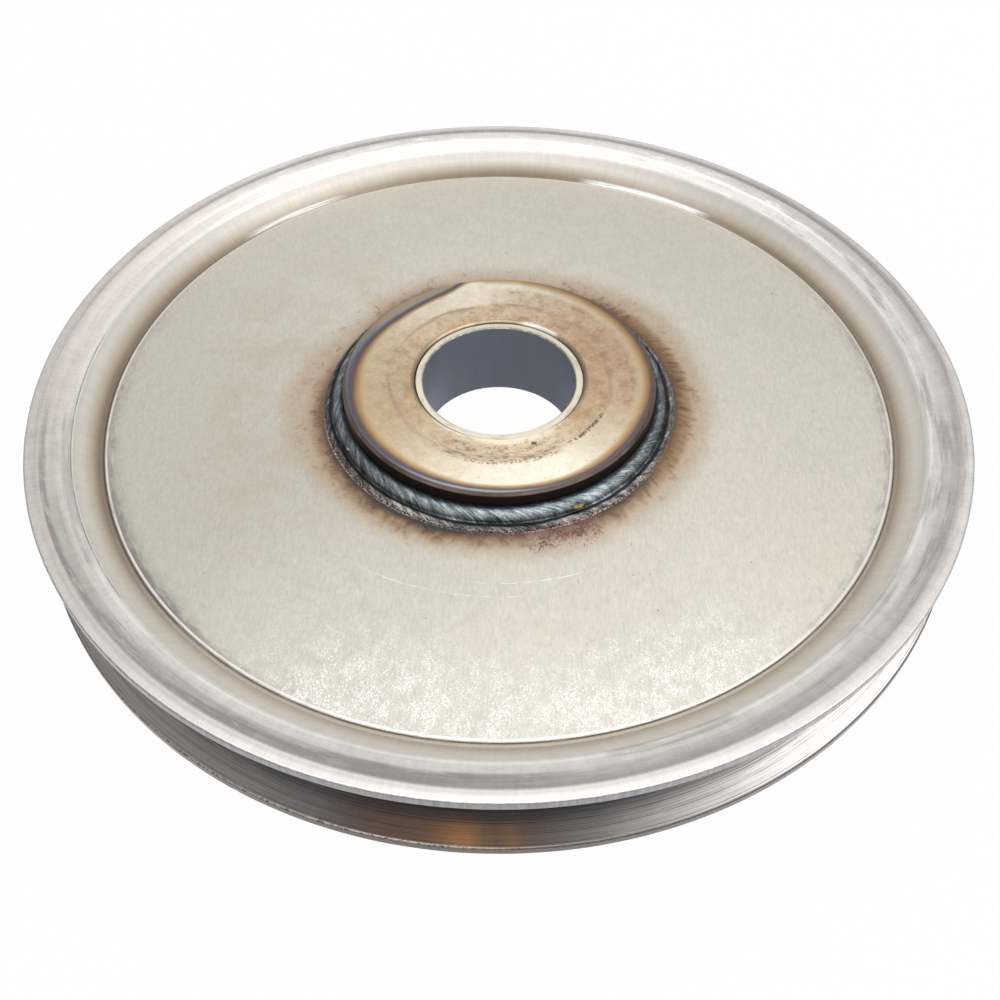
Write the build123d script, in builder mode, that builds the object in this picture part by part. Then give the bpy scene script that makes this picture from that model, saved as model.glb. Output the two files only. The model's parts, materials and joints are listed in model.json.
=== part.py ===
"""Wire rope sheave: a rolled steel disc with a rope groove, and a bushed hub welded into it.

Millimetres. The origin is the centre of the bore at the disc's mid-plane, and +Z is the bore axis.
Every piece is a turned or rolled ring, so each one is a half section revolved about Z.
"""
import os
from math import cos, radians, sin, tan

from build123d import *

# ---------------------------------------------------------------- disc
DISC_RADIUS = 150.0
RIM_WIDTH = 28.5
WEB_THICKNESS = 10.0
WEB_EDGE_RADIUS = 127.7         # where the flat web ends at the rolled valley
WEB_EDGE_ROUND = 0.8

VALLEY_RADIUS = 128.8           # lowest line of the valley beside the web
VALLEY_DROP = 1.1               # how far the valley lies below the web's face
VALLEY_ROUND = 0.7

SHOULDER_RADIUS = 136.4         # where the flank of the valley meets the side of the flange
SHOULDER_DROP = 2.5             # below the outermost plane of the rim
SHOULDER_ROUND = 2.0
FLANK_HOLLOW = 0.7              # how far the flank sags from a straight cone

CREST_INNER_RADIUS = 146.0      # the raised band along the edge of the flange
CREST_OUTER_RADIUS = 149.4
CREST_DROP = 1.0

# ---------------------------------------------------------------- rope groove
ROPE_DIAMETER = 13.0
GROOVE_ROUND = 0.525 * ROPE_DIAMETER
GROOVE_HALF_ANGLE = 22.5
LIP_HEIGHT = 3.0                # axial thickness of the flange at its tip
LIP_ROUND = 0.5

# ---------------------------------------------------------------- hub
HUB_RADIUS = 51.0
HUB_LENGTH = 29.5
HUB_CHAMFER = 1.0
BORE_CHAMFER = 1.0

# ---------------------------------------------------------------- bush
BUSH_RADIUS = 27.5
BORE_RADIUS = 25.0
BUSH_LENGTH = 28.0
BUSH_OUTER_CHAMFER = 0.4
BUSH_INNER_CHAMFER = 0.5

# ---------------------------------------------------------------- welds
WELD_TOE_RADIUS = 57.6          # outer toe, on the web
WELD_HEIGHT = 5.0               # upper toe on the hub, above the web
WELD_SEAM_RADIUS = 54.6         # the furrow between the two runs
WELD_SEAM_HEIGHT = 2.2
INNER_RUN_BULGE = 0.7
OUTER_RUN_BULGE = 0.6

os.makedirs("parts", exist_ok=True)

half_rim = RIM_WIDTH / 2
half_web = WEB_THICKNESS / 2


def bulged_arc(start, end, bulge):
    """Arc from start to end whose middle stands off the chord, to the left of its direction."""
    chord = Vector(*end) - Vector(*start)
    middle = (Vector(*start) + Vector(*end)) / 2
    side = Vector(-chord.Y, chord.X).normalized() * bulge
    return ThreePointArc(start, middle + side, end)


# ---------------------------------------------------------------- sheave_disc
# The groove is a V with a round bottom. Its flanks run from the lips to the tangent points of
# the bottom arc, whose centre follows from the lip height.
half_angle = radians(GROOVE_HALF_ANGLE)
lip_z = half_rim - LIP_HEIGHT
tangent_z = GROOVE_ROUND * cos(half_angle)
tangent_radius = DISC_RADIUS - (lip_z - tangent_z) / tan(half_angle)
groove_centre = tangent_radius + GROOVE_ROUND * sin(half_angle)
groove_bottom = groove_centre - GROOVE_ROUND

valley = (VALLEY_RADIUS, half_web - VALLEY_DROP)
shoulder = (SHOULDER_RADIUS, half_rim - SHOULDER_DROP)
crest = (CREST_INNER_RADIUS, half_rim - CREST_DROP)

with BuildPart() as sheave_disc:
    with BuildSketch(Plane.XZ) as disc_section:
        with BuildLine():
            Polyline(
                (groove_bottom, 0), (HUB_RADIUS, 0), (HUB_RADIUS, half_web),
                (WEB_EDGE_RADIUS, half_web), valley,
            )
            bulged_arc(valley, shoulder, -FLANK_HOLLOW)
            Polyline(
                shoulder, crest, (CREST_OUTER_RADIUS, half_rim), (DISC_RADIUS, half_rim),
                (DISC_RADIUS, lip_z), (tangent_radius, tangent_z),
            )
            RadiusArc((tangent_radius, tangent_z), (groove_bottom, 0), -GROOVE_ROUND)
        make_face()
        corner_rounds = {
            (WEB_EDGE_RADIUS, half_web): WEB_EDGE_ROUND,
            valley: VALLEY_ROUND,
            shoulder: SHOULDER_ROUND,
            (DISC_RADIUS, half_rim): LIP_ROUND,
            (DISC_RADIUS, lip_z): LIP_ROUND,
        }
        for corner, corner_round in corner_rounds.items():
            fillet(disc_section.vertices().sort_by_distance((*corner, 0))[0], corner_round)
        mirror(about=Plane.XZ)
    revolve(axis=Axis.Z)
sheave_disc.part.label = "sheave_disc"
export_step(sheave_disc.part, "parts/sheave_disc.step")

# ---------------------------------------------------------------- hub
with BuildPart() as hub:
    with BuildSketch(Plane.XY.offset(-HUB_LENGTH / 2)):
        Circle(HUB_RADIUS)
        Circle(BUSH_RADIUS, mode=Mode.SUBTRACT)
    extrude(amount=HUB_LENGTH)
    rims = hub.edges().filter_by(GeomType.CIRCLE)
    chamfer(rims.filter_by(lambda edge: edge.radius > BUSH_RADIUS + 1), HUB_CHAMFER)
    chamfer(rims.filter_by(lambda edge: edge.radius < BUSH_RADIUS + 1), BORE_CHAMFER)
hub.part.label = "hub"
export_step(hub.part, "parts/hub.step")

# ---------------------------------------------------------------- bush
with BuildPart() as bush:
    with BuildSketch(Plane.XY.offset(-BUSH_LENGTH / 2)):
        Circle(BUSH_RADIUS)
        Circle(BORE_RADIUS, mode=Mode.SUBTRACT)
    extrude(amount=BUSH_LENGTH)
    ends = bush.edges().filter_by(GeomType.CIRCLE)
    chamfer(ends.filter_by(lambda edge: edge.radius > BORE_RADIUS + 1), BUSH_OUTER_CHAMFER)
    chamfer(ends.filter_by(lambda edge: edge.radius < BORE_RADIUS + 1), BUSH_INNER_CHAMFER)
bush.part.label = "bush"
export_step(bush.part, "parts/bush.step")

# ---------------------------------------------------------------- welds
# One fillet weld on each face of the web, laid in two runs: the inner run climbs the hub and
# the outer run spreads over the web, with a furrow between them.
web_corner = (HUB_RADIUS, half_web)
hub_toe = (HUB_RADIUS, half_web + WELD_HEIGHT)
seam = (WELD_SEAM_RADIUS, half_web + WELD_SEAM_HEIGHT)
web_toe = (WELD_TOE_RADIUS, half_web)

with BuildPart() as weld_top:
    with BuildSketch(Plane.XZ):
        with BuildLine():
            Polyline(web_toe, web_corner, hub_toe)
            bulged_arc(hub_toe, seam, INNER_RUN_BULGE)
            bulged_arc(seam, web_toe, OUTER_RUN_BULGE)
        make_face()
    revolve(axis=Axis.Z)
weld_top.part.label = "weld_top"
export_step(weld_top.part, "parts/weld_top.step")

with BuildPart() as weld_bottom:
    mirror(weld_top.part, about=Plane.XY)
weld_bottom.part.label = "weld_bottom"
export_step(weld_bottom.part, "parts/weld_bottom.step")
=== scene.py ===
"""Visual model of a wire rope sheave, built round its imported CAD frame.

Everything is in metres, with the bore along +Z and the origin at the disc's mid-plane. The turned
and rolled rings are drawn again as fine half sections, because the heat tint, tool lines and weld
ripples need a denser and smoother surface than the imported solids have.
"""
from __future__ import annotations

import json
import logging
import math
from dataclasses import dataclass
from enum import Enum
from typing import Callable, Mapping, Sequence, Union

import bmesh
import bpy
from mathutils import Matrix, Vector, noise

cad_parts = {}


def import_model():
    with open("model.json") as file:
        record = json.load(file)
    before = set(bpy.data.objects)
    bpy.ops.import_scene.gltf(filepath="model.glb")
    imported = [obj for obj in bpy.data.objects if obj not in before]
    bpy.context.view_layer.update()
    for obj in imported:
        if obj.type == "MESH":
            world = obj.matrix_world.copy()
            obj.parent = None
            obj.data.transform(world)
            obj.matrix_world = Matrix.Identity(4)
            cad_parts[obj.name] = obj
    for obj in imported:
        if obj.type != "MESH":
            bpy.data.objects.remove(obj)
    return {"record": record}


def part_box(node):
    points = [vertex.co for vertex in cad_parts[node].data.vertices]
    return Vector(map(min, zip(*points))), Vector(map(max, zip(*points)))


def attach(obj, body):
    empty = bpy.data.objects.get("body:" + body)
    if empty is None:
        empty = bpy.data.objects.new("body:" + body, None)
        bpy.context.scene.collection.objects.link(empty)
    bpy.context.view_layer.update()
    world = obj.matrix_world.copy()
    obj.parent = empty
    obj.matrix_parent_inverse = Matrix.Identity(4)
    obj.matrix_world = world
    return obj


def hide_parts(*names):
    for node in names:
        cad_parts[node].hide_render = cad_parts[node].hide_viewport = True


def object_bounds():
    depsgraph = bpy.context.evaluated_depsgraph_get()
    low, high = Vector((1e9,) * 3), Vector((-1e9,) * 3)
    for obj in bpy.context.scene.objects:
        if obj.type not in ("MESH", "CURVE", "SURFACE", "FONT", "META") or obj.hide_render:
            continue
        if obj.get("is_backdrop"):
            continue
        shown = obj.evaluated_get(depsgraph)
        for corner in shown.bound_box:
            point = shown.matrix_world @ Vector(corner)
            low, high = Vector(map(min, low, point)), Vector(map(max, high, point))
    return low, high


LOG = logging.getLogger("sheave")
MM = 0.001
BODY = "root"
Triple = tuple[float, float, float]
RGB = Triple
WHITE: RGB = (1.0, 1.0, 1.0)
Stops = Sequence[tuple[float, RGB]]
Settings = Mapping[str, object]
Inputs = Mapping[Union[int, str], object]


# ---------------------------------------------------------------- shader expressions
class Ease(Enum):
    """How a ramp runs from one stop to the next."""

    STRAIGHT = "LINEAR"
    CURVED = "CARDINAL"


class Wire:
    """The end of a wire in a node tree."""

    def __init__(self, graph: "Graph", socket: bpy.types.NodeSocket) -> None:
        """Wraps one output socket of a graph."""
        self.graph = graph
        self.socket = socket


class Value(Wire):
    """A single number that adds Math nodes when it is used in an expression."""

    def math(self, operation: str, *operands: "Number") -> "Value":
        """Runs one Math node.

        Args:
            operation: Name of the Math node's operation.
            operands: Its inputs, in order.

        Returns:
            The node's result.
        """
        settings = {"operation": operation}
        return self.graph.value("ShaderNodeMath", settings, dict(enumerate(operands)))

    def __add__(self, other: "Number") -> "Value":
        """self + other."""
        return self.math("ADD", self, other)

    def __radd__(self, other: "Number") -> "Value":
        """other + self."""
        return self.math("ADD", other, self)

    def __sub__(self, other: "Number") -> "Value":
        """self - other."""
        return self.math("SUBTRACT", self, other)

    def __rsub__(self, other: "Number") -> "Value":
        """other - self."""
        return self.math("SUBTRACT", other, self)

    def __mul__(self, other: "Number") -> "Value":
        """self * other."""
        return self.math("MULTIPLY", self, other)

    def __rmul__(self, other: "Number") -> "Value":
        """other * self."""
        return self.math("MULTIPLY", other, self)

    def __truediv__(self, other: "Number") -> "Value":
        """self / other."""
        return self.math("DIVIDE", self, other)

    def __rtruediv__(self, other: "Number") -> "Value":
        """other / self."""
        return self.math("DIVIDE", other, self)

    def __abs__(self) -> "Value":
        """abs(self)."""
        return self.math("ABSOLUTE", self)

    def root(self) -> "Value":
        """Square root."""
        return self.math("SQRT", self)

    def sine(self) -> "Value":
        """Sine, of radians."""
        return self.math("SINE", self)

    def cosine(self) -> "Value":
        """Cosine, of radians."""
        return self.math("COSINE", self)

    def most(self, other: "Number") -> "Value":
        """The larger of the two."""
        return self.math("MAXIMUM", self, other)

    def step(self, low: "Number", high: "Number") -> "Value":
        """Smooth step from 0 to 1.

        Args:
            low: Where the step starts.
            high: Where it ends. A lower end than start gives a falling step.

        Returns:
            A value from 0 to 1.
        """
        settings = {"interpolation_type": "SMOOTHSTEP"}
        return self.graph.value("ShaderNodeMapRange", settings, {0: self, 1: low, 2: high})

    def band(self, centre: "Number", half_width: float, soft: float) -> "Value":
        """1 within half_width of the centre, fading to 0 over the soft distance."""
        return abs(self - centre).step(half_width + soft, half_width)


Number = Union[Value, float, int]


class Colour(Wire):
    """A colour, which only Mix and Vector Math nodes work on."""

    def mixed(self, other: Union["Colour", RGB], amount: Number) -> "Colour":
        """Lays another colour over this one.

        Args:
            other: The colour on top.
            amount: How much of it shows, from 0 to 1.

        Returns:
            The combined colour.
        """
        settings = {"data_type": "RGBA", "clamp_factor": True}
        inputs = {"Factor_Float": amount, "A_Color": self, "B_Color": other}
        node = self.graph.node("ShaderNodeMix", settings, inputs)
        return Colour(self.graph, self.graph.output(node, "Result_Color"))

    def scaled(self, brightness: Number) -> "Colour":
        """The colour times a brightness, which may pass 1."""
        inputs = {0: self, "Scale": brightness}
        node = self.graph.node("ShaderNodeVectorMath", {"operation": "SCALE"}, inputs)
        return Colour(self.graph, node.outputs[0])

    def toned(self, brightness: Number, where: Value) -> "Colour":
        """The colour times a brightness where the mask is 1, and left alone where it is 0."""
        return self.scaled(1.0 - where * (1.0 - brightness))


@dataclass(frozen=True)
class Place:
    """Where a shaded point is: Object coordinates in millimetres, and polar ones about the bore."""

    graph: "Graph"
    x: Value
    y: Value
    z: Value
    radius: Value
    turn: Value

    def by_bearing(self, *stops: tuple[float, float]) -> Value:
        """A number that changes smoothly round the axis.

        Args:
            stops: Pairs of a bearing, in degrees from -180 up, and the number there, in order. The
                first number also closes the circle, unless a stop at 180 does.

        Returns:
            The number at the point's bearing.
        """
        if stops[-1][0] < 180:
            stops += ((180, stops[0][1]),)
        low = min(number for _, number in stops)
        span = max(number for _, number in stops) - low
        shades = [
            (0.5 + degrees / 360.0, ((number - low) / span,) * 3) for degrees, number in stops
        ]
        shade = self.graph.ramp(self.turn, shades, Ease.CURVED)
        return Value(self.graph, shade.socket) * span + low

    def lobe(self, degrees: float, half_width: float, soft: float = 12.0) -> Value:
        """A sector of the disc.

        Args:
            degrees: Bearing of its middle, anticlockwise from +X.
            half_width: Half of the angle that it covers fully, in degrees.
            soft: The angle over which it fades at each side, in degrees.

        Returns:
            1 inside the sector and 0 outside.
        """
        angle = math.radians(degrees)
        along = (self.x * math.cos(angle) + self.y * math.sin(angle)) / self.radius
        outer = math.cos(math.radians(min(half_width + soft, 180.0)))
        inner = math.cos(math.radians(half_width))
        return along.step(outer, inner)

    def noise(
        self,
        size: float,
        detail: float = 2.0,
        rough: float = 0.5,
        stretch: Triple = (1.0, 1.0, 1.0),
        seed: float = 0.0,
        warp: float = 0.0,
    ) -> Value:
        """Noise in the part's own space.

        Args:
            size: Size of the largest lumps, in millimetres.
            detail: Number of finer octaves.
            rough: Strength of each finer octave.
            stretch: How much longer the lumps are along X, Y and Z.
            seed: Offset that makes a different pattern.
            warp: Distortion of the pattern by itself.

        Returns:
            A value from about 0.2 to 0.8.
        """
        axes = [axis / factor for axis, factor in zip((self.x, self.y, self.z), stretch)]
        vector = self.graph.vector(axes[0] + seed * size, axes[1], axes[2])
        return self.graph.noise(vector, size, detail, rough, warp)

    def specks(self, size: float, share: float, seed: float = 0.0) -> Value:
        """Crisp round specks scattered over the part.

        Args:
            size: Distance between them, in millimetres.
            share: Share of the places that carry one.
            seed: Offset that makes a different pattern.

        Returns:
            1 in the middle of a speck, falling to 0 at its edge.
        """
        edge, core, soft = 0.46, 0.20, 0.06
        vector = self.graph.vector(self.x + seed * size, self.y, self.z)
        inputs = {"Vector": vector, "Scale": 1.0 / size}
        cells = self.graph.node("ShaderNodeTexVoronoi", None, inputs)
        distance = Value(self.graph, self.graph.output(cells, "Distance"))
        chance = Value(self.graph, self.graph.output(cells, "Color"))
        return distance.step(edge, core) * chance.step(share + soft, share - soft)

    def lines(self, along: Value, size: float, detail: float = 2.0, seed: float = 0.0) -> Value:
        """Noise in one dimension, such as turning marks against the radius.

        Args:
            along: What the lines are counted along, in millimetres.
            size: Their distance, in millimetres.
            detail: Number of finer octaves.
            seed: Offset that makes a different pattern.

        Returns:
            A value from about 0.2 to 0.8.
        """
        inputs = {"W": along + seed, "Scale": 1.0 / size, "Detail": detail, "Roughness": 0.6}
        return self.graph.value("ShaderNodeTexNoise", {"noise_dimensions": "1D"}, inputs)

    def around(
        self,
        size: float,
        length: float,
        detail: float = 2.0,
        seed: float = 0.0,
        rough: float = 0.5,
        swirl: float = 0.0,
    ) -> Value:
        """Noise that is drawn out round the axis or across it.

        Args:
            size: Size of the lumps across the radius, in millimetres.
            length: Their length round the axis, in millimetres at a radius of 100 mm.
            detail: Number of finer octaves.
            seed: Offset that makes a different pattern.
            rough: Strength of each finer octave.
            swirl: How far the lumps lean over, in radians of bearing per millimetre of radius.

        Returns:
            A value from about 0.2 to 0.8.
        """
        turn = 100.0 * size / length
        east, north = self.x / self.radius, self.y / self.radius
        if swirl:
            lean = self.radius * swirl
            cosine, sine = lean.cosine(), lean.sine()
            east, north = east * cosine - north * sine, east * sine + north * cosine
        vector = self.graph.vector(east * turn, north * turn, self.radius + seed * size)
        return self.graph.noise(vector, size, detail, rough)


class Graph:
    """Builds the node tree of one material, or of the world."""

    def __init__(self, owner: Union[bpy.types.Material, bpy.types.World]) -> None:
        """Starts an empty node tree.

        Args:
            owner: The material or world that the tree belongs to.
        """
        self.owner = owner
        owner.use_nodes = True
        self.tree = owner.node_tree
        self.tree.nodes.clear()

    @classmethod
    def material(cls, name: str) -> "Graph":
        """Starts an empty material of that name."""
        return cls(bpy.data.materials.new(name))

    def node(
        self, kind: str, settings: Settings | None = None, inputs: Inputs | None = None
    ) -> bpy.types.Node:
        """Adds a node.

        Args:
            kind: The node's type.
            settings: Its properties, or "stops" for a ramp, which are set first.
            inputs: Values or sockets for its inputs, by index, name or identifier.

        Returns:
            The node.
        """
        node = self.tree.nodes.new(kind)
        for name, setting in (settings or {}).items():
            if name == "stops":
                self._set_stops(node.color_ramp, setting)
            else:
                setattr(node, name, setting)
        for key, given in (inputs or {}).items():
            self._feed(self._input(node, key), given)
        return node

    @staticmethod
    def _set_stops(ramp: bpy.types.ColorRamp, stops: Stops) -> None:
        """Gives a ramp its stops.

        Args:
            ramp: The ramp.
            stops: Its positions and colours, in order.
        """
        while len(ramp.elements) < len(stops):
            ramp.elements.new(1.0)
        for element, (position, colour) in zip(ramp.elements, stops):
            element.position = position
            element.color = (*colour, 1.0)

    @staticmethod
    def _input(node: bpy.types.Node, key: Union[int, str]) -> bpy.types.NodeSocket:
        """Finds an input of a node.

        Args:
            node: The node.
            key: The input's index, identifier or name.

        Returns:
            The input.
        """
        if isinstance(key, int):
            return node.inputs[key]
        for socket in node.inputs:
            if socket.identifier == key:
                return socket
        return node.inputs[key]

    @staticmethod
    def output(node: bpy.types.Node, identifier: str) -> bpy.types.NodeSocket:
        """The output with that identifier."""
        return next(socket for socket in node.outputs if socket.identifier == identifier)

    def _feed(self, socket: bpy.types.NodeSocket, given: object) -> None:
        """Links something to an input, or sets a plain value on it.

        Args:
            socket: The input.
            given: A value, colour or socket to link, or a plain value.
        """
        if isinstance(given, Wire):
            self.tree.links.new(given.socket, socket)
        elif isinstance(given, bpy.types.NodeSocket):
            self.tree.links.new(given, socket)
        elif isinstance(given, tuple) and len(given) == 3 and socket.type == "RGBA":
            socket.default_value = (*given, 1.0)
        else:
            socket.default_value = given

    def value(self, kind: str, settings: Settings | None, inputs: Inputs) -> Value:
        """Adds a node and returns its first output as a number."""
        return Value(self, self.node(kind, settings, inputs).outputs[0])

    def vector(self, x: Number, y: Number, z: Number) -> bpy.types.NodeSocket:
        """Joins three numbers into a vector."""
        return self.node("ShaderNodeCombineXYZ", inputs={0: x, 1: y, 2: z}).outputs[0]

    def noise(
        self,
        vector: bpy.types.NodeSocket,
        size: float,
        detail: float,
        rough: float,
        warp: float = 0.0,
    ) -> Value:
        """Adds a Noise Texture.

        Args:
            vector: Where the noise is read.
            size: Size of the largest lumps, in the vector's units.
            detail: Number of finer octaves.
            rough: Strength of each finer octave.
            warp: Distortion of the pattern by itself.

        Returns:
            A value from about 0.2 to 0.8.
        """
        inputs = {
            "Vector": vector,
            "Scale": 1.0 / size,
            "Detail": detail,
            "Roughness": rough,
            "Distortion": warp,
        }
        return self.value("ShaderNodeTexNoise", None, inputs)

    def ramp(self, along: Value, stops: Stops, ease: Ease = Ease.STRAIGHT) -> Colour:
        """Adds a Color Ramp.

        Args:
            along: Where along the ramp the colour is read.
            stops: The ramp's positions and colours, in order.
            ease: How it runs between them.

        Returns:
            The colour there.
        """
        node = self.node("ShaderNodeValToRGB", {"stops": stops}, {0: along})
        node.color_ramp.interpolation = ease.value
        return Colour(self, node.outputs[0])

    def flat(self, colour: RGB) -> Colour:
        """One colour, ready for mixing.

        Args:
            colour: The colour.

        Returns:
            Its socket.
        """
        node = self.node("ShaderNodeRGB")
        node.outputs[0].default_value = (*colour, 1.0)
        return Colour(self, node.outputs[0])

    def place(self) -> Place:
        """Reads the point's place from Object coordinates.

        Returns:
            The place, in millimetres.
        """
        coordinates = self.node("ShaderNodeTexCoord")
        metres = self.output(coordinates, "Object")
        settings = {"operation": "SCALE"}
        scaled = self.node("ShaderNodeVectorMath", settings, {0: metres, "Scale": 1.0 / MM})
        parts = self.node("ShaderNodeSeparateXYZ", inputs={0: scaled.outputs[0]})
        x, y, z = (Value(self, socket) for socket in parts.outputs)
        turn = y.math("ARCTAN2", y, x) / math.tau + 0.5
        return Place(self, x, y, z, (x * x + y * y).root(), turn)

    def finish(
        self,
        colour: Colour,
        metallic: Number,
        roughness: Number,
        height: Value,
    ) -> bpy.types.Material:
        """Closes the material with a Principled shader.

        Args:
            colour: Base colour.
            metallic: How far the surface is bare metal, from 0 to 1.
            roughness: Roughness of the gloss.
            height: Relief in millimetres, for the bump.

        Returns:
            The material.
        """
        relief = {"Strength": 1.0, "Distance": MM, "Height": height}
        inputs = {
            "Base Color": colour,
            "Metallic": metallic,
            "Roughness": roughness,
            "Normal": self.node("ShaderNodeBump", None, relief).outputs[0],
        }
        shader = self.node("ShaderNodeBsdfPrincipled", None, inputs)
        self.node("ShaderNodeOutputMaterial", None, {"Surface": shader.outputs[0]})
        return self.owner


# ---------------------------------------------------------------- half sections
class Section:
    """A closed half section in the XZ plane, drawn point by point and then turned about Z."""

    def __init__(self, radius: float, height: float) -> None:
        """Starts the outline at a point.

        Args:
            radius: Its distance from the axis.
            height: Its height.
        """
        self.mesh = bmesh.new()
        self.first = self.mesh.verts.new((radius, 0.0, height))
        self.tip = self.first

    @classmethod
    def chamfered(
        cls, radii: tuple[float, float], top: float, chamfers: tuple[float, float], soft: float
    ) -> "Section":
        """Draws a plain ring with chamfered edges, the same above and below the mid-plane.

        Args:
            radii: Its inner and outer radius.
            top: Height of its end.
            chamfers: Width of the inner and of the outer chamfers.
            soft: Radius of the rounds that break the corners.

        Returns:
            The closed section.
        """
        (inner, outer), (inner_chamfer, outer_chamfer) = radii, chamfers
        section = cls(inner, -top + inner_chamfer)
        section.line(inner, top - inner_chamfer)
        section.line(inner + inner_chamfer, top)
        section.line(outer - outer_chamfer, top)
        section.line(outer, top - outer_chamfer)
        section.line(outer, -top + outer_chamfer)
        section.line(outer - outer_chamfer, -top)
        section.line(inner + inner_chamfer, -top)
        section.close()
        for corner in section.mesh.verts[:]:
            section.round(corner, soft, 2)
        return section

    def line(self, radius: float, height: float) -> bmesh.types.BMVert:
        """Draws a straight line to the next point.

        Args:
            radius: Distance of its end from the axis.
            height: Height of its end.

        Returns:
            The line's last point.
        """
        made = bmesh.ops.extrude_vert_indiv(self.mesh, verts=[self.tip])
        self.tip = made["verts"][0]
        self.tip.co = (radius, 0.0, height)
        return self.tip

    def bulge(self, radius: float, height: float, rise: float, steps: int) -> bmesh.types.BMVert:
        """Draws an arc to the next point.

        Args:
            radius: Distance of its end from the axis.
            height: Height of its end.
            rise: How far its middle stands off the chord, to the left of the direction of travel.
            steps: Number of straight pieces.

        Returns:
            The arc's last point.
        """
        start = self.tip.co.copy()
        chord = Vector((radius, 0.0, height)) - start
        half = chord.length / 2
        arc_radius = (half * half + rise * rise) / (2 * rise)
        left = Vector((-chord.z, 0.0, chord.x)).normalized()
        centre = start + chord / 2 + left * (rise - arc_radius)
        angle = 2 * math.asin(max(-1.0, min(1.0, half / arc_radius)))
        made = bmesh.ops.spin(
            self.mesh, geom=[self.tip], cent=centre, axis=(0.0, 1.0, 0.0), dvec=(0.0, 0.0, 0.0),
            angle=angle, steps=steps, use_merge=False, use_duplicate=False,
        )
        self.tip = next(g for g in made["geom_last"] if isinstance(g, bmesh.types.BMVert))
        return self.tip

    def close(self) -> None:
        """Joins the last point to the first."""
        self.mesh.edges.new((self.tip, self.first))

    def round(self, corner: bmesh.types.BMVert, radius: float, segments: int) -> None:
        """Rounds one corner of the outline.

        Args:
            corner: The corner's point.
            radius: Radius of the round.
            segments: Number of straight pieces in it.
        """
        ends = [edge.other_vert(corner).co - corner.co for edge in corner.link_edges]
        opening = ends[0].angle(ends[1])
        setback = radius / math.tan(opening / 2)
        bmesh.ops.bevel(
            self.mesh, geom=[corner], offset=setback, offset_type="OFFSET", affect="VERTICES",
            segments=segments, profile=0.5, material=-1, clamp_overlap=True,
        )

    def guard(self, distance: float) -> None:
        """Adds a point just inside each end of every long line, so that shading stays flat there.

        Args:
            distance: How far inside the point stands.
        """
        long_enough = 6 * distance
        for edge in list(self.mesh.edges):
            if edge.calc_length() > long_enough:
                start, end = edge.verts
                _, near = bmesh.utils.edge_split(edge, start, distance / edge.calc_length())
                rest = next(e for e in near.link_edges if e.other_vert(near) is end)
                bmesh.utils.edge_split(rest, end, distance / rest.calc_length())

    def divide(self, longest: float) -> None:
        """Divides the long lines.

        Args:
            longest: How long a line may be.
        """
        for edge in list(self.mesh.edges):
            cuts = int(edge.calc_length() / longest)
            if cuts:
                bmesh.ops.subdivide_edges(self.mesh, edges=[edge], cuts=cuts)

    def turn(self, steps: int, sectors: int = 32) -> bmesh.types.BMesh:
        """Turns the outline once about Z, first over one sector and then sector by sector.

        Args:
            steps: Number of facets round the ring, a multiple of the sectors.
            sectors: Number of equal sectors.

        Returns:
            The closed ring, its faces pointing outwards.
        """
        sector = math.tau / sectors
        about_bore = {"cent": (0.0, 0.0, 0.0), "axis": (0.0, 0.0, 1.0), "dvec": (0.0, 0.0, 0.0)}
        outline = self.mesh.verts[:] + self.mesh.edges[:]
        bmesh.ops.spin(
            self.mesh, geom=outline, angle=sector, steps=steps // sectors,
            use_merge=False, use_duplicate=False, **about_bore,
        )
        first = self.mesh.verts[:] + self.mesh.edges[:] + self.mesh.faces[:]
        bmesh.ops.spin(
            self.mesh, geom=first, angle=math.tau - sector, steps=sectors - 1,
            use_merge=False, use_duplicate=True, **about_bore,
        )
        bmesh.ops.remove_doubles(self.mesh, verts=self.mesh.verts[:], dist=0.001 * MM)
        bmesh.ops.recalc_face_normals(self.mesh, faces=self.mesh.faces[:])
        return self.mesh


def move_points(mesh: bmesh.types.BMesh, field: Callable[[Vector, Vector], Vector]) -> None:
    """Moves every point of a mesh.

    Args:
        mesh: The mesh.
        field: Gives a point's movement from its place and its normal.
    """
    mesh.normal_update()
    moves = [(vert, field(vert.co, vert.normal)) for vert in mesh.verts]
    for vert, move in moves:
        vert.co += move


def bearing(point: Vector) -> float:
    """Angle of a point about the bore, in radians anticlockwise from +X."""
    return math.atan2(point.y, point.x)


def on_ring(radius: float, degrees: float, height: float) -> Vector:
    """The point at a radius, a bearing in degrees and a height."""
    angle = math.radians(degrees)
    return Vector((radius * math.cos(angle), radius * math.sin(angle), height))


class Piece:
    """A finished mesh object of the scene."""

    def __init__(
        self, name: str, mesh: bmesh.types.BMesh, *finishes: bpy.types.Material
    ) -> None:
        """Makes the object, at the origin.

        Args:
            name: The piece's name.
            mesh: Its shape, which is freed.
            finishes: Its materials, in the order of their numbers.
        """
        data = bpy.data.meshes.new(name)
        for face in mesh.faces:
            face.smooth = True
        mesh.to_mesh(data)
        mesh.free()
        for finish in finishes:
            data.materials.append(finish)
        self.object = bpy.data.objects.new(name, data)
        bpy.context.scene.collection.objects.link(self.object)

    def stand_for(self, slot: str, *nodes: str) -> "Piece":
        """Makes the piece part of the object.

        Args:
            slot: The record's material slot for the piece's finish; not used.
            nodes: The CAD nodes that it replaces.

        Returns:
            The piece.
        """
        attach(self.object, BODY)
        if nodes:
            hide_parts(*nodes)
        triangles = sum(len(face.vertices) - 2 for face in self.object.data.polygons)
        LOG.info("%s: %d triangles", self.object.name, triangles)
        return self


# ---------------------------------------------------------------- sizes
class Side(Enum):
    """The two faces of the disc."""

    TOP = 1
    BOTTOM = -1


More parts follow.
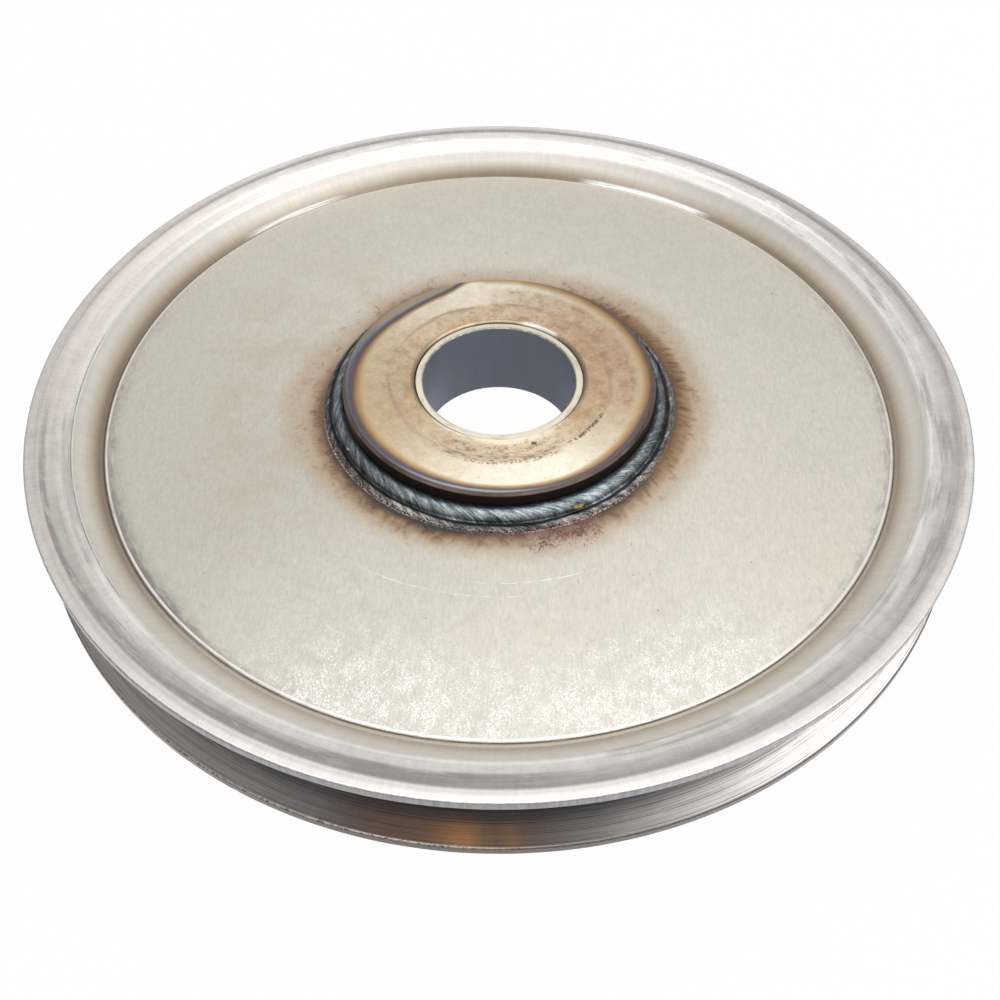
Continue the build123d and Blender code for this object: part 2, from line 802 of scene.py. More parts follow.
@dataclass(frozen=True)
class SheaveSizes:
    """Main sizes of the sheave, in metres."""

    disc_radius: float
    half_rim: float
    half_web: float
    hub_radius: float
    half_hub: float
    bush_radius: float
    half_bush: float
    bore_radius: float
    weld_radius: float
    weld_top: float

    @classmethod
    def from_frame(cls, record: Mapping[str, object]) -> "SheaveSizes":
        """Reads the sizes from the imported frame.

        Args:
            record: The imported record.

        Returns:
            The sizes.
        """
        disc, hub, bush = (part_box(node)[1] for node in ("sheave_disc", "hub", "bush"))
        weld_low, weld_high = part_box("weld_top")
        bore = next(mount for mount in record["mounts"] if mount["name"] == "bore")
        return cls(
            disc_radius=disc[0],
            half_rim=disc[2],
            half_web=weld_low[2],
            hub_radius=hub[0],
            half_hub=hub[2],
            bush_radius=bush[0],
            half_bush=bush[2],
            bore_radius=bore["dims"]["r_mm"] * MM,
            weld_radius=weld_high[0],
            weld_top=weld_high[2],
        )


# ---------------------------------------------------------------- finishes
# A table of tones gives positions along a ramp and the colour at each.
STEEL: RGB = (0.640, 0.596, 0.525)
HEAT_TINT: Stops = (
    (0.000, (0.620, 0.500, 0.330)),
    (0.150, (0.540, 0.385, 0.205)),
    (0.250, (0.370, 0.230, 0.120)),
    (0.325, (0.175, 0.108, 0.085)),
    (0.400, (0.100, 0.092, 0.120)),
    (0.500, (0.130, 0.142, 0.178)),
    (0.625, (0.225, 0.228, 0.220)),
    (0.775, (0.285, 0.245, 0.190)),
    (1.000, (0.260, 0.200, 0.140)),
)
SCORCH: Stops = (
    (0.00, (0.070, 0.062, 0.062)),
    (0.09, (0.085, 0.070, 0.066)),
    (0.22, (0.190, 0.128, 0.088)),
    (0.40, (0.335, 0.235, 0.155)),
    (0.75, (0.480, 0.375, 0.270)),
)
# Tones across the rim from the web's edge to the lip; the darker tones at the start are painted
# shade in the valley.
RIM_TONES: Stops = (
    (0.00, (0.52, 0.47, 0.40)),
    (0.06, (0.50, 0.44, 0.37)),
    (0.15, (0.64, 0.575, 0.495)),
    (0.24, (0.74, 0.685, 0.615)),
    (0.34, (0.81, 0.765, 0.71)),
    (0.42, (0.82, 0.785, 0.745)),
    (0.50, (0.79, 0.755, 0.715)),
    (0.62, (0.76, 0.725, 0.685)),
    (0.72, (0.70, 0.67, 0.63)),
    (0.80, (0.55, 0.525, 0.505)),
    (0.86, (0.60, 0.575, 0.55)),
    (0.92, (0.70, 0.67, 0.645)),
    (1.00, (0.70, 0.67, 0.65)),
)
INNER_RUN: Stops = (
    (0.38, (0.030, 0.038, 0.044)),
    (0.49, (0.112, 0.136, 0.150)),
    (0.57, (0.260, 0.305, 0.328)),
    (0.68, (0.700, 0.755, 0.780)),
)
OUTER_RUN: Stops = (
    (0.40, (0.020, 0.019, 0.021)),
    (0.50, (0.064, 0.060, 0.061)),
    (0.59, (0.250, 0.238, 0.236)),
    (0.68, (0.760, 0.720, 0.705)),
)
COPPER: Stops = ((0.40, (0.62, 0.40, 0.27)), (0.55, (0.97, 0.86, 0.78)))
BROWNED_BEVEL: Stops = ((0.35, (0.10, 0.070, 0.058)), (0.65, (0.21, 0.15, 0.125)))
AMBER: Stops = (
    (0.35, (0.10, 0.055, 0.012)),
    (0.55, (0.36, 0.25, 0.075)),
    (0.70, (0.66, 0.60, 0.42)),
)
JOINT_DIRT: RGB = (0.045, 0.034, 0.026)


def joint_dirt(place: Place) -> Value:
    """How dirty the joint between hub and bush is, round the bearing.

    Args:
        place: The shaded point.

    Returns:
        A value from 0 to 1.
    """
    return place.by_bearing(
        (-180, 0.95), (-150, 0.9), (-125, 0.55), (-90, 0.25), (-60, 0.3), (0, 0.45), (60, 0.55),
        (90, 0.75), (120, 0.6), (150, 0.7),
    )


@dataclass(frozen=True)
class DiscSteel:
    """Rolled steel of the web and rim, with the tint and sooty scorch round the welds."""

    toe: float                      # radius of the weld's outer toe, mm
    web_edge: float                 # radius where the flat web ends, mm
    shoulder: float                 # radius of the flange's inner edge, mm
    crest: float                    # radius of the raised band's inner edge, mm
    edge: float                     # radius of the disc, mm
    lip_height: float               # lower edge of the upper lip, mm above the mid-plane

    def web(self) -> bpy.types.Material:
        """Builds the flat web's material.

        Returns:
            The material.
        """
        graph = Graph.material("web_steel")
        place = graph.place()
        grain = place.noise(0.45, 2.0, 0.6, (1.0, 3.0, 1.0))
        return graph.finish(self._web(place), 0.95, self._gloss(place, 0.46), grain * 0.012)

    def rim(self) -> bpy.types.Material:
        """Builds the material of the valley, the flanges and the crests.

        Returns:
            The material.
        """
        graph = Graph.material("rim_steel")
        place = graph.place()
        flank = place.radius.step(self.shoulder + 2.2, self.shoulder - 3.0)
        mirrored = place.lobe(88.0, 38.0, 32.0)
        grain = place.noise(0.45, 2.0, 0.6, (1.0, 3.0, 1.0))
        relief = place.lines(place.radius, 0.35, 1.0) * 0.008 + grain * 0.005
        matt = flank * 0.12 + place.radius.band(self.shoulder, 1.0, 1.6) * 0.16
        metallic = 0.95 - flank * (0.60 - mirrored * 0.55)
        return graph.finish(self._rim(place), metallic, self._gloss(place, 0.27 + matt), relief)

    def rope_groove(self) -> bpy.types.Material:
        """Builds the rope groove's material.

        Returns:
            The material.
        """
        graph = Graph.material("groove_steel")
        place = graph.place()
        turned = place.lines(abs(place.z) * 3.0 + place.radius, 0.5, 2.0)
        return graph.finish(self._groove(place), 0.95, self._gloss(place, 0.37), turned * 0.03)

    @staticmethod
    def _gloss(place: Place, level: Number) -> Value:
        """A slightly cloudy roughness about that level."""
        return level + (place.noise(6.0, 3.0) - 0.5) * 0.16

    def _web(self, place: Place) -> Colour:
        """Flat web: warm grey mill finish, lightened and darkened round the bearing as painted
        light and shade, under painted glints, weld haze and marks.

        Args:
            place: The shaded point.

        Returns:
            The web's colour.
        """
        broad = place.noise(55.0, 2.0) - 0.5
        mottle = place.noise(2.2, 3.0, 0.65) - 0.5
        grain = place.noise(0.6, 1.0, 0.5, (1.0, 5.0, 1.0), seed=3.0) - 0.5
        # Painted light and shade: the bearing stops make the web lighter or darker round the axis
        # as the light falls; the noise terms add its random tone.
        level = place.by_bearing(
            (-180, 0.93), (-150, 0.87), (-120, 0.91), (-90, 0.96), (-30, 0.98), (0, 0.99),
            (30, 1.02), (120, 1.06), (150, 1.0),
        )
        fine = place.noise(0.35, 1.0, 0.5, (1.0, 2.0, 1.0), seed=37.0) - 0.5
        level = level + broad * 0.10 + mottle * 0.18 + grain * 0.22 + fine * 0.16
        colour = place.graph.flat(STEEL).scaled(level)
        film = place.noise(14.0, 4.0, 0.6, seed=15.0).step(0.42, 0.66)
        film = film * place.lobe(175.0, 30.0, 35.0)
        colour = colour.mixed((0.52, 0.43, 0.33), film * place.radius.step(118.0, 80.0) * 0.35)
        colour = self._glints(colour, place)
        return self._marks(self._haze(colour, place), place)

    def _glints(self, colour: Colour, place: Place) -> Colour:
        """Lays smudges, a painted highlight line along the web's edge, and painted sparkle at the
        front.

        Args:
            colour: The colour so far.
            place: The shaded point.

        Returns:
            The colour with them laid over.
        """
        cloud = place.noise(7.0, 4.0, 0.65, seed=21.0)
        ragged = place.around(1.1, 5.0, 4.0, seed=49.0, rough=0.7)
        dark = place.by_bearing(
            (-180, 0.12), (-162, 0.2), (-142, 0.24), (-125, 0.04), (-100, -0.1), (-60, -0.08),
            (-40, 0.04), (-10, 0.1), (20, 0.1), (45, 0.0), (60, -0.1), (140, -0.08), (160, 0.04),
        )
        edge = place.radius.step(self.web_edge - 7.0, self.web_edge - 1.0)
        smudge = edge * (cloud * 0.6 + ragged * 0.4 + dark).step(0.52, 0.80)
        colour = colour.mixed((0.30, 0.275, 0.245), smudge * 0.6)
        fringe = place.by_bearing(
            (-180, 0.3), (-165, 0.45), (-152, 0.75), (-138, 0.9), (-124, 0.35), (-108, 0.0),
            (-55, 0.0), (-40, 0.25), (-20, 0.35), (15, 0.25), (40, 0.0), (150, 0.0), (168, 0.15),
        )
        close = (place.radius + (ragged - 0.5) * 6.0).step(self.web_edge - 3.4, self.web_edge - 0.9)
        colour = colour.mixed((0.21, 0.195, 0.18), fringe * close * 0.85)

        # Painted highlight: a bright, broken line on the web's rounded edge, stronger at the
        # bearings where it catches the light.
        edge_highlight = place.by_bearing(
            (-180, 0.8), (-150, 0.85), (-125, 0.8), (-100, 0.9), (-75, 0.55), (-50, 0.4),
            (-25, 0.6), (10, 0.55), (30, 0.3), (46, 0.2), (56, 0.9), (70, 0.9), (82, 0.35),
            (100, 0.3), (122, 0.6), (140, 0.35), (160, 0.7),
        )
        line = place.radius.band(self.web_edge - 0.42, 0.26, 0.20)
        broken = place.around(0.8, 5.0, 3.0, seed=35.0, rough=0.6).step(0.30, 0.50)
        colour = colour.mixed((0.86, 0.84, 0.82), line * edge_highlight * (0.45 + broken * 0.55))

        # Painted sparkle: white glint flecks and a bright haze over the front of the web, where it
        # reflects the lamps.
        zone = place.by_bearing(
            (-180, 0.0), (-128, 0.0), (-119, 0.45), (-108, 1.0), (-92, 0.85), (-84, 0.7),
            (-68, 0.9), (-56, 0.65), (-46, 0.0),
        )
        zone = zone * (place.radius + (cloud - 0.5) * 34.0).step(92.0, 124.0)
        zone = zone + place.lobe(-88.0, 38.0, 20.0) * place.radius.step(62.0, 90.0) * 0.10
        cluster = place.noise(3.6, 5.0, 0.72, (1.0, 1.5, 1.0), seed=33.0).step(0.38, 0.62)
        sparkle_flecks = place.specks(0.62, 0.50, seed=31.0).most(place.specks(0.40, 0.45, seed=5.0))
        sparkle_haze = place.noise(0.40, 2.0, 0.8, (1.0, 1.7, 1.0), seed=31.0).step(0.40, 0.66)
        dense = zone * (0.18 + cluster * 0.82)
        colour = colour.mixed((0.95, 0.93, 0.89), sparkle_haze * dense * 0.75)
        return colour.mixed((1.0, 0.995, 0.98), sparkle_flecks * dense * 1.3)

    def _haze(self, colour: Colour, place: Place) -> Colour:
        """Lays the weld's tan film and brown heat tint round its toe.

        Args:
            colour: The colour so far.
            place: The shaded point.

        Returns:
            The colour with them laid over.
        """
        clear = place.radius - self.toe
        lumps = place.noise(5.0, 5.0, 0.62, seed=1.0, warp=0.8) - 0.5
        streaks = place.around(8.0, 3.0, 4.0, seed=5.0, rough=0.62, swirl=0.006) - 0.5
        fine = place.noise(1.2, 3.0, 0.7, seed=7.0) - 0.5
        reach = place.by_bearing(
            (-180, 14.0), (-150, 10.5), (-120, 9.0), (-90, 8.5), (-60, 9.5), (-30, 11.0),
            (-10, 12.0), (15, 12.0), (35, 14.0), (50, 12.5), (65, 11.0), (90, 9.5), (120, 9.5),
            (150, 6.5),
        )
        right = place.lobe(12.0, 38.0, 25.0)
        film = (clear + lumps * 10.0 + streaks * (2.5 + right * 6.0) - reach).step(4.8, -4.2)
        opacity = 0.46 + right * 0.10 + lumps * 1.1 + streaks * right * 1.2 + fine * 0.5
        colour = colour.mixed((0.43, 0.295, 0.18), film * opacity)
        shift = place.by_bearing(
            (-180, 1.3), (-150, 0.0), (-120, -0.6), (-105, -0.2), (-90, 0.9), (-60, -0.3),
            (-30, 1.0), (0, 0.0), (30, 0.3), (60, 0.7), (90, 4.0), (120, 0.8), (150, 5.2),
        )
        torn = lumps * 9.0 + streaks * (3.0 + right * 11.0)
        depth = clear + shift + torn * clear.step(0.0, 4.0) + fine * 2.0
        brown = place.graph.ramp(depth / 10.0, SCORCH)
        colour = colour.mixed(brown, depth.step(9.0, 3.5))
        warm = clear.band(3.2, 1.2, 2.4) * (place.lobe(5.0, 28.0, 22.0) + lumps * 1.2)
        colour = colour.mixed((0.27, 0.155, 0.070), warm * 0.5)
        crumbs = place.noise(0.7, 2.0, 0.7, seed=45.0).step(0.45, 0.56) * clear.step(0.8, 0.2)
        shown = place.by_bearing(
            (-180, 0.1), (-160, 0.5), (-125, 0.55), (-95, 0.3), (-78, 0.7), (-60, 1.0), (-42, 0.5),
            (-20, 0.2), (20, 0.3), (60, 0.0),
        )
        return colour.mixed((0.84, 0.72, 0.62), crumbs * shown * 0.8)

    def _marks(self, colour: Colour, place: Place) -> Colour:
        """Lays fine scratches, blots, a patch of rust and specks over everything else.

        Args:
            colour: The colour so far.
            place: The shaded point.

        Returns:
            The colour with them laid over.
        """
        outer = place.radius.band(81.2, 0.08, 0.22) * place.lobe(-106.0, 17.0, 6.0)
        inner = place.radius.band(76.3, 0.08, 0.22) * place.lobe(-80.0, 12.0, 8.0)
        broken = place.around(0.5, 4.0, 2.0, seed=3.0, swirl=0.05).step(0.44, 0.60)
        colour = colour.mixed((0.92, 0.90, 0.84), (outer + inner) * broken * 0.65)

        clear = place.radius - self.toe
        blot = place.noise(3.4, 2.0, 0.5, seed=71.0).step(0.62, 0.68) * clear.step(13.0, 5.0)
        colour = colour.mixed((0.24, 0.155, 0.100), blot * 0.45)
        patch = place.lobe(-71.0, 9.0, 3.0) * place.radius.step(72.0, 65.0)
        colour = colour.mixed((0.46, 0.36, 0.29), patch * 0.35)
        grit = place.noise(0.7, 3.0, 0.75, seed=41.0)
        spread = place.noise(3.5, 2.0, 0.5, seed=43.0)
        dense = place.radius.step(69.0, 61.0) * place.lobe(-70.0, 5.0, 9.0)
        rust = (grit * 0.7 + spread * 0.3 + dense * 0.09).step(0.56, 0.63) * patch
        colour = colour.mixed((0.17, 0.080, 0.068), rust * 0.85)
        speck = place.noise(1.6, 1.0, 0.5, seed=51.0).step(0.76, 0.80)
        return colour.mixed((0.17, 0.13, 0.10), speck * 0.5)

    def _rim(self, place: Place) -> Colour:
        """Rolled rim: tan flank, grey side with a smeared band, bright crest and grey lip, with
        painted light and shade round the bearing and in the valley.

        Args:
            place: The shaded point.

        Returns:
            The rim's colour.
        """
        radius = place.radius + (place.around(3.0, 60.0, 3.0) - 0.5)
        share = (radius - self.web_edge) / (self.edge - self.web_edge)
        colour = self._valley(place.graph.ramp(share, RIM_TONES), place)
        colour = self._sheen(colour, place)
        smear = place.around(2.5, 22.0, 4.0, seed=11.0, rough=0.6)
        scuff = place.around(1.6, 9.0, 4.0, seed=53.0, rough=0.7)
        colour = self._smears(colour, place, smear, scuff)
        colour = self._brow(colour, place, smear, scuff)
        return self._lip(self._scores(colour, place, scuff), place)

    def _sheen(self, colour: Colour, place: Place) -> Colour:
        """Paints light and shade onto the flange, flank, brow and crest round the bearing.

        Args:
            colour: The colour so far.
            place: The shaded point.

        Returns:
            The colour with the sheen.
        """
        # Painted light and shade: each table below lightens or darkens one ring of the rim round
        # the bearing, as the light falls on it.
        level = place.by_bearing(
            (-180, 0.86), (-150, 0.95), (-120, 1.02), (-60, 1.0), (-30, 0.95), (0, 0.86),
            (30, 0.84), (50, 0.92), (70, 1.0), (130, 1.0), (150, 0.86),
        )
        outer = place.radius.step(self.shoulder - 4.0, self.shoulder + 1.0)
        colour = colour.toned(level, outer)
        flank_light = place.by_bearing(
            (-180, 0.92), (-120, 0.98), (-60, 0.98), (0, 1.03), (30, 1.06), (60, 1.04), (80, 0.84),
            (110, 0.8), (135, 0.78), (155, 0.84),
        )
        flank = place.radius.band(self.web_edge + 4.2, 1.3, 2.2)
        colour = colour.toned(flank_light, flank)
        shade = place.by_bearing(
            (-180, 1.12), (-150, 1.0), (-128, 0.92), (-90, 0.92), (-50, 1.0), (0, 1.0), (35, 0.72),
            (65, 0.72), (125, 0.76), (150, 0.96), (180, 1.18),
        )
        brow = place.radius.band(self.crest - 0.8, 2.2, 1.0)
        colour = colour.toned(shade, brow)
        shade = place.by_bearing(
            (-180, 1.12), (-150, 0.94), (-120, 0.86), (-90, 0.96), (-40, 1.05), (0, 1.34),
            (30, 1.4), (60, 1.38), (90, 1.4), (120, 1.42), (150, 1.38),
        )
        top = place.radius.band(148.0, 0.9, 0.9)
        return colour.toned(shade, top)

    def _smears(self, colour: Colour, place: Place, smear: Value, scuff: Value) -> Colour:
        """Lays a smeared band, dirt, bare scuffs and a rosy stretch over the flange.

        Args:
            colour: The colour so far.
            place: The shaded point.
            smear: Noise for the long smears.
            scuff: Noise for the short scuffs.

        Returns:
            The colour with them laid over.
        """
        strength = place.by_bearing(
            (-180, 0.15), (-168, 0.2), (-158, 0.55), (-146, 0.7), (-138, 1.0), (-92, 1.0),
            (-80, 0.45), (-60, 0.3), (-30, 0.35), (20, 0.3), (45, 0.1), (100, 0.05),
        )
        band = place.radius.band(self.crest - 2.6, 1.7, 1.0) * strength
        colour = colour.mixed((0.36, 0.345, 0.33), band * (0.30 + smear.step(0.40, 0.58) * 0.45))
        flange = place.radius.band(self.shoulder + 4.6, 3.6, 1.0)
        dirty = place.by_bearing(
            (-180, 0.25), (-140, 0.25), (-110, 0.12), (-60, 0.2), (-35, 0.45), (-5, 0.6),
            (30, 0.75), (55, 0.5), (80, 0.12), (150, 0.12),
        )
        colour = colour.mixed((0.33, 0.32, 0.31), flange * smear.step(0.50, 0.64) * dirty)
        bare = place.by_bearing(
            (-180, 0.12), (-150, 0.18), (-130, 0.35), (-60, 0.3), (0, 0.25), (30, 0.4), (60, 0.5),
            (120, 0.5), (145, 0.15),
        )
        colour = colour.mixed((0.95, 0.93, 0.90), flange * scuff.step(0.55, 0.68) * bare)
        rosy = place.lobe(178.0, 28.0, 25.0) * place.radius.step(self.shoulder, self.shoulder + 3.0)
        return colour.mixed((0.68, 0.595, 0.53), rosy * 0.40)

    def _brow(self, colour: Colour, place: Place, smear: Value, scuff: Value) -> Colour:
        """Lays dark and rusty traces along the raised band, and grey stretches that are partly wear
        and partly painted shade.

        Args:
            colour: The colour so far.
            place: The shaded point.
            smear: Noise for the long smears.
            scuff: Noise for the short scuffs.

        Returns:
            The colour with them laid over.
        """
        trace = place.radius + (place.around(3.0, 30.0, 3.0, seed=55.0) - 0.5) * 3.0
        dark = place.by_bearing(
            (-180, 0.0), (-177, 0.0), (-172, 0.6), (-158, 0.85), (-146, 0.9), (-138, 0.45),
            (-130, 0.0),
        )
        dark = dark * trace.band(self.crest - 1.4, 0.30, 0.60) * scuff.step(0.62, 0.46)
        colour = colour.mixed((0.25, 0.235, 0.22), dark * 0.60)
        rust = place.by_bearing(
            (-180, 0.4), (-150, 0.35), (-125, 0.0), (-45, 0.0), (-20, 0.55), (10, 0.75), (35, 0.4),
            (60, 0.0), (140, 0.0), (165, 0.35),
        )
        rust = rust * trace.band(self.crest + 1.4, 0.2, 0.7) * scuff.step(0.46, 0.60)
        colour = colour.mixed((0.42, 0.26, 0.185), rust * 0.6)
        # Grey stretches on the crest's inner edge, strongest at the back right: partly smeared
        # wear, partly painted shade.
        worn = place.by_bearing(
            (-180, 0.05), (-60, 0.0), (-20, 0.1), (0, 0.25), (25, 0.55), (45, 0.6), (65, 0.4),
            (90, 0.42), (120, 0.36), (150, 0.1),
        )
        worn = worn * place.radius.band(self.crest + 0.2, 1.8, 2.2)
        colour = colour.mixed((0.42, 0.41, 0.40), worn * (0.55 + smear.step(0.40, 0.60) * 0.45))
        low = place.radius.band(self.shoulder + 1.6, 1.1, 0.5)
        rubbed = place.lobe(-160.0, 12.0, 3.0).most(place.lobe(-71.0, 6.0, 2.0))
        rubbed = rubbed.most(place.lobe(-40.0, 7.0, 3.0) * 0.8)
        return colour.mixed((0.36, 0.345, 0.325), low * rubbed * smear.step(0.36, 0.52) * 0.5)

    def _scores(self, colour: Colour, place: Place, scuff: Value) -> Colour:
        """Lays turned lines all over, and a tool mark with its bead at the shoulder.

        Args:
            colour: The colour so far.
            place: The shaded point.
            scuff: Noise for the short scuffs.

        Returns:
            The colour with them laid over.
        """
        scored = place.lines(place.radius, 0.4, 2.0) - 0.5
        cross = place.around(7.0, 0.9, 3.0, seed=13.0, rough=0.6) - 0.5
        cloud = place.noise(3.0, 3.0) - 0.5
        colour = colour.scaled(1.0 + scored * 0.16 + cross * 0.22 + cloud * 0.12)
        shown = place.lobe(-165.0, 22.0, 5.0).most(place.lobe(-50.0, 22.0, 8.0) * 0.35)
        shown = shown * (0.4 + scuff.step(0.62, 0.44) * 0.6)
        tool = place.radius.band(self.shoulder + 0.1, 0.08, 0.12) * shown
        colour = colour.mixed((0.20, 0.18, 0.165), tool * 0.8)
        bead = place.radius.band(self.shoulder - 0.25, 0.06, 0.12) * shown
        return colour.mixed((0.95, 0.94, 0.90), bead * 0.7)

    def _valley(self, colour: Colour, place: Place) -> Colour:
        """Paints shade into the valley outside the web and along the crease at its edge, and two
        painted glints.

        Args:
            colour: The colour so far.
            place: The shaded point.

        Returns:
            The colour with the valley laid over.
        """
        # Painted shade: the valley is darkened and warmed, by a depth that changes round the
        # bearing.
        depth = place.by_bearing(
            (-180, 0.98), (-152, 0.7), (-128, 0.16), (-60, 0.2), (-30, 0.42), (0, 0.72), (32, 0.88),
            (50, 0.74), (62, 0.5), (85, 0.92), (108, 0.74), (122, 0.52), (134, 0.66), (150, 0.96),
        )
        low = place.radius.step(self.web_edge + 3.8, self.web_edge + 1.2)
        slope = place.radius.step(self.web_edge + 7.0, self.web_edge + 2.0)
        colour = colour.mixed((0.34, 0.245, 0.155), slope * (depth - 0.10) * 0.85)
        colour = colour.mixed((0.13, 0.100, 0.078), low * (depth - 0.05) * 0.75)
        # Painted shade: a thin dark line in the crease just outside the web's edge, broken up.
        crease = place.radius.band(self.web_edge + 0.40, 0.10, 0.14)
        broken = place.around(0.8, 6.0, 3.0, seed=39.0, rough=0.6).step(0.30, 0.50)
        colour = colour.mixed((0.07, 0.06, 0.05), crease * (0.35 + broken * 0.5))
        # Painted glints: white highlights in the valley at two bearings.
        glint = place.lobe(63.5, 8.0, 5.0).most(place.lobe(128.0, 5.0, 6.0) * 0.7)
        glint = glint * (0.45 + place.around(0.5, 14.0, 3.0, seed=57.0).step(0.38, 0.56) * 0.55)
        glint = glint * place.radius.band(self.web_edge + 2.2, 0.3, 0.9)
        return colour.mixed((1.0, 0.99, 0.97), glint)

    def _lip(self, colour: Colour, place: Place) -> Colour:
        """Lays the outer faces over the rim: grey above with painted light and shade round the
        bearing, dark brown below as painted shade, and a lower corner with painted shade, a broken
        painted highlight and dark specks.

        Args:
            colour: The colour so far.
            place: The shaded point.

        Returns:
            The colour with them laid over.
        """
        ragged = (place.noise(1.6, 3.0, 0.6, seed=23.0) - 0.5) * 0.6
        side = abs(place.z)
        lip = (place.radius + ragged).step(self.edge - 0.42, self.edge - 0.22)
        lip = lip * side.step(self.lip_height - 0.3, self.lip_height)
        lower = place.z.step(0.0, -1.0)
        brush = place.around(6.0, 0.8, 3.0, seed=17.0, rough=0.7) - 0.5
        # Painted light and shade: the grey face is lightened and darkened round the bearing.
        shade = place.by_bearing(
            (-180, 0.95), (-150, 0.85), (-120, 0.76), (-85, 0.78), (-55, 1.05), (-30, 1.15),
            (0, 1.0),
        )
        face = place.graph.flat((0.42, 0.41, 0.415)).scaled(shade + brush * 0.9 + ragged * 0.5)
        # Painted shade: the lower face is darkened to dark brown, most at the left and front.
        lower_shade = place.by_bearing(
            (-180, 0.85), (-130, 0.92), (-90, 0.85), (-60, 0.55), (-30, 0.3), (0, 0.4),
        )
        face = face.mixed((0.135, 0.108, 0.094), lower * lower_shade)
        colour = colour.mixed(face, lip)
        # Painted shade over the lower lip's corner, a broken painted highlight on it at the front,
        # and dark specks below.
        outermost = place.radius.step(self.edge - 1.2, self.edge - 0.8) * lower
        corner_shade = side.band(self.lip_height - 0.10, 0.35, 0.25) * outermost
        colour = colour.mixed((0.13, 0.112, 0.10), corner_shade * 0.75)
        corner = side.band(self.lip_height - 0.05, 0.10, 0.12) * outermost
        chipped = place.noise(0.9, 3.0, 0.7, seed=27.0)
        bright = place.lobe(-112.0, 14.0, 14.0) * chipped.step(0.42, 0.56)
        colour = colour.mixed((0.66, 0.58, 0.50), corner * bright * 0.6)
        under = side.band(self.lip_height + 0.35, 0.20, 0.25) * outermost
        return colour.mixed((0.040, 0.030, 0.026), under * chipped.step(0.46, 0.38) * 0.8)

    def _groove(self, place: Place) -> Colour:
        """Rope groove: turned steel with scored lines, browned at the front, with painted light
        round the bearing that is brightest at one side, a painted orange-brown highlight at the
        front and painted shade under the upper lip.

        Args:
            place: The shaded point.

        Returns:
            The groove's colour.
        """
        across = place.radius + abs(place.z) * 2.0
        rings = place.lines(across, 1.2, 3.0)
        # Painted light and shade: the groove's brightness changes round the bearing, brightest at
        # the front right.
        level = place.by_bearing(
            (-180, 0.34), (-150, 0.36), (-128, 0.33), (-115, 0.25), (-104, 0.16), (-86, 0.15),
            (-76, 0.3), (-60, 0.7), (-45, 0.96), (-34, 0.92), (-24, 0.6), (0, 0.45), (60, 0.36),
        )
        colour = place.graph.flat((1.0, 0.945, 0.92)).scaled(level * (0.62 + rings * 0.76))
        cloud = place.around(2.5, 30.0, 4.0, seed=9.0)
        colour = colour.mixed((0.130, 0.078, 0.054), place.lobe(-95.5, 4.0, 11.0) * 0.8)
        # Painted highlight: a narrow orange-brown streak at the front.
        orange_highlight = place.by_bearing(
            (-180, 0.0), (-100, 0.0), (-96.6, 0.22), (-94.6, 0.55), (-93.5, 1.0), (-92.4, 0.55),
            (-90.6, 0.1), (-88.6, 0.3), (-86.8, 0.0),
        )
        orange_highlight = orange_highlight * (place.z + cloud * 2.0).step(-6.4, -9.4) * (0.40 + rings)
        colour = colour.mixed((0.52, 0.25, 0.085), orange_highlight * 0.72)
        shade = (place.z + cloud * 1.6).step(-9.0, -6.0) * place.lobe(-90.0, 45.0, 25.0)
        colour = colour.mixed((0.034, 0.037, 0.046), shade * 0.85)
        scored = place.lines(across, 0.42, 1.0, seed=5.0).step(0.50, 0.64)
        broken = place.around(0.5, 12.0, 4.0, seed=15.0, rough=0.65).step(0.36, 0.52)
        colour = colour.mixed((0.050, 0.040, 0.036), scored * broken * 0.8)
        pit = place.noise(0.7, 1.0, 0.5, seed=61.0).step(0.76, 0.80)
        return colour.mixed((0.02, 0.017, 0.015), pit * 0.6)


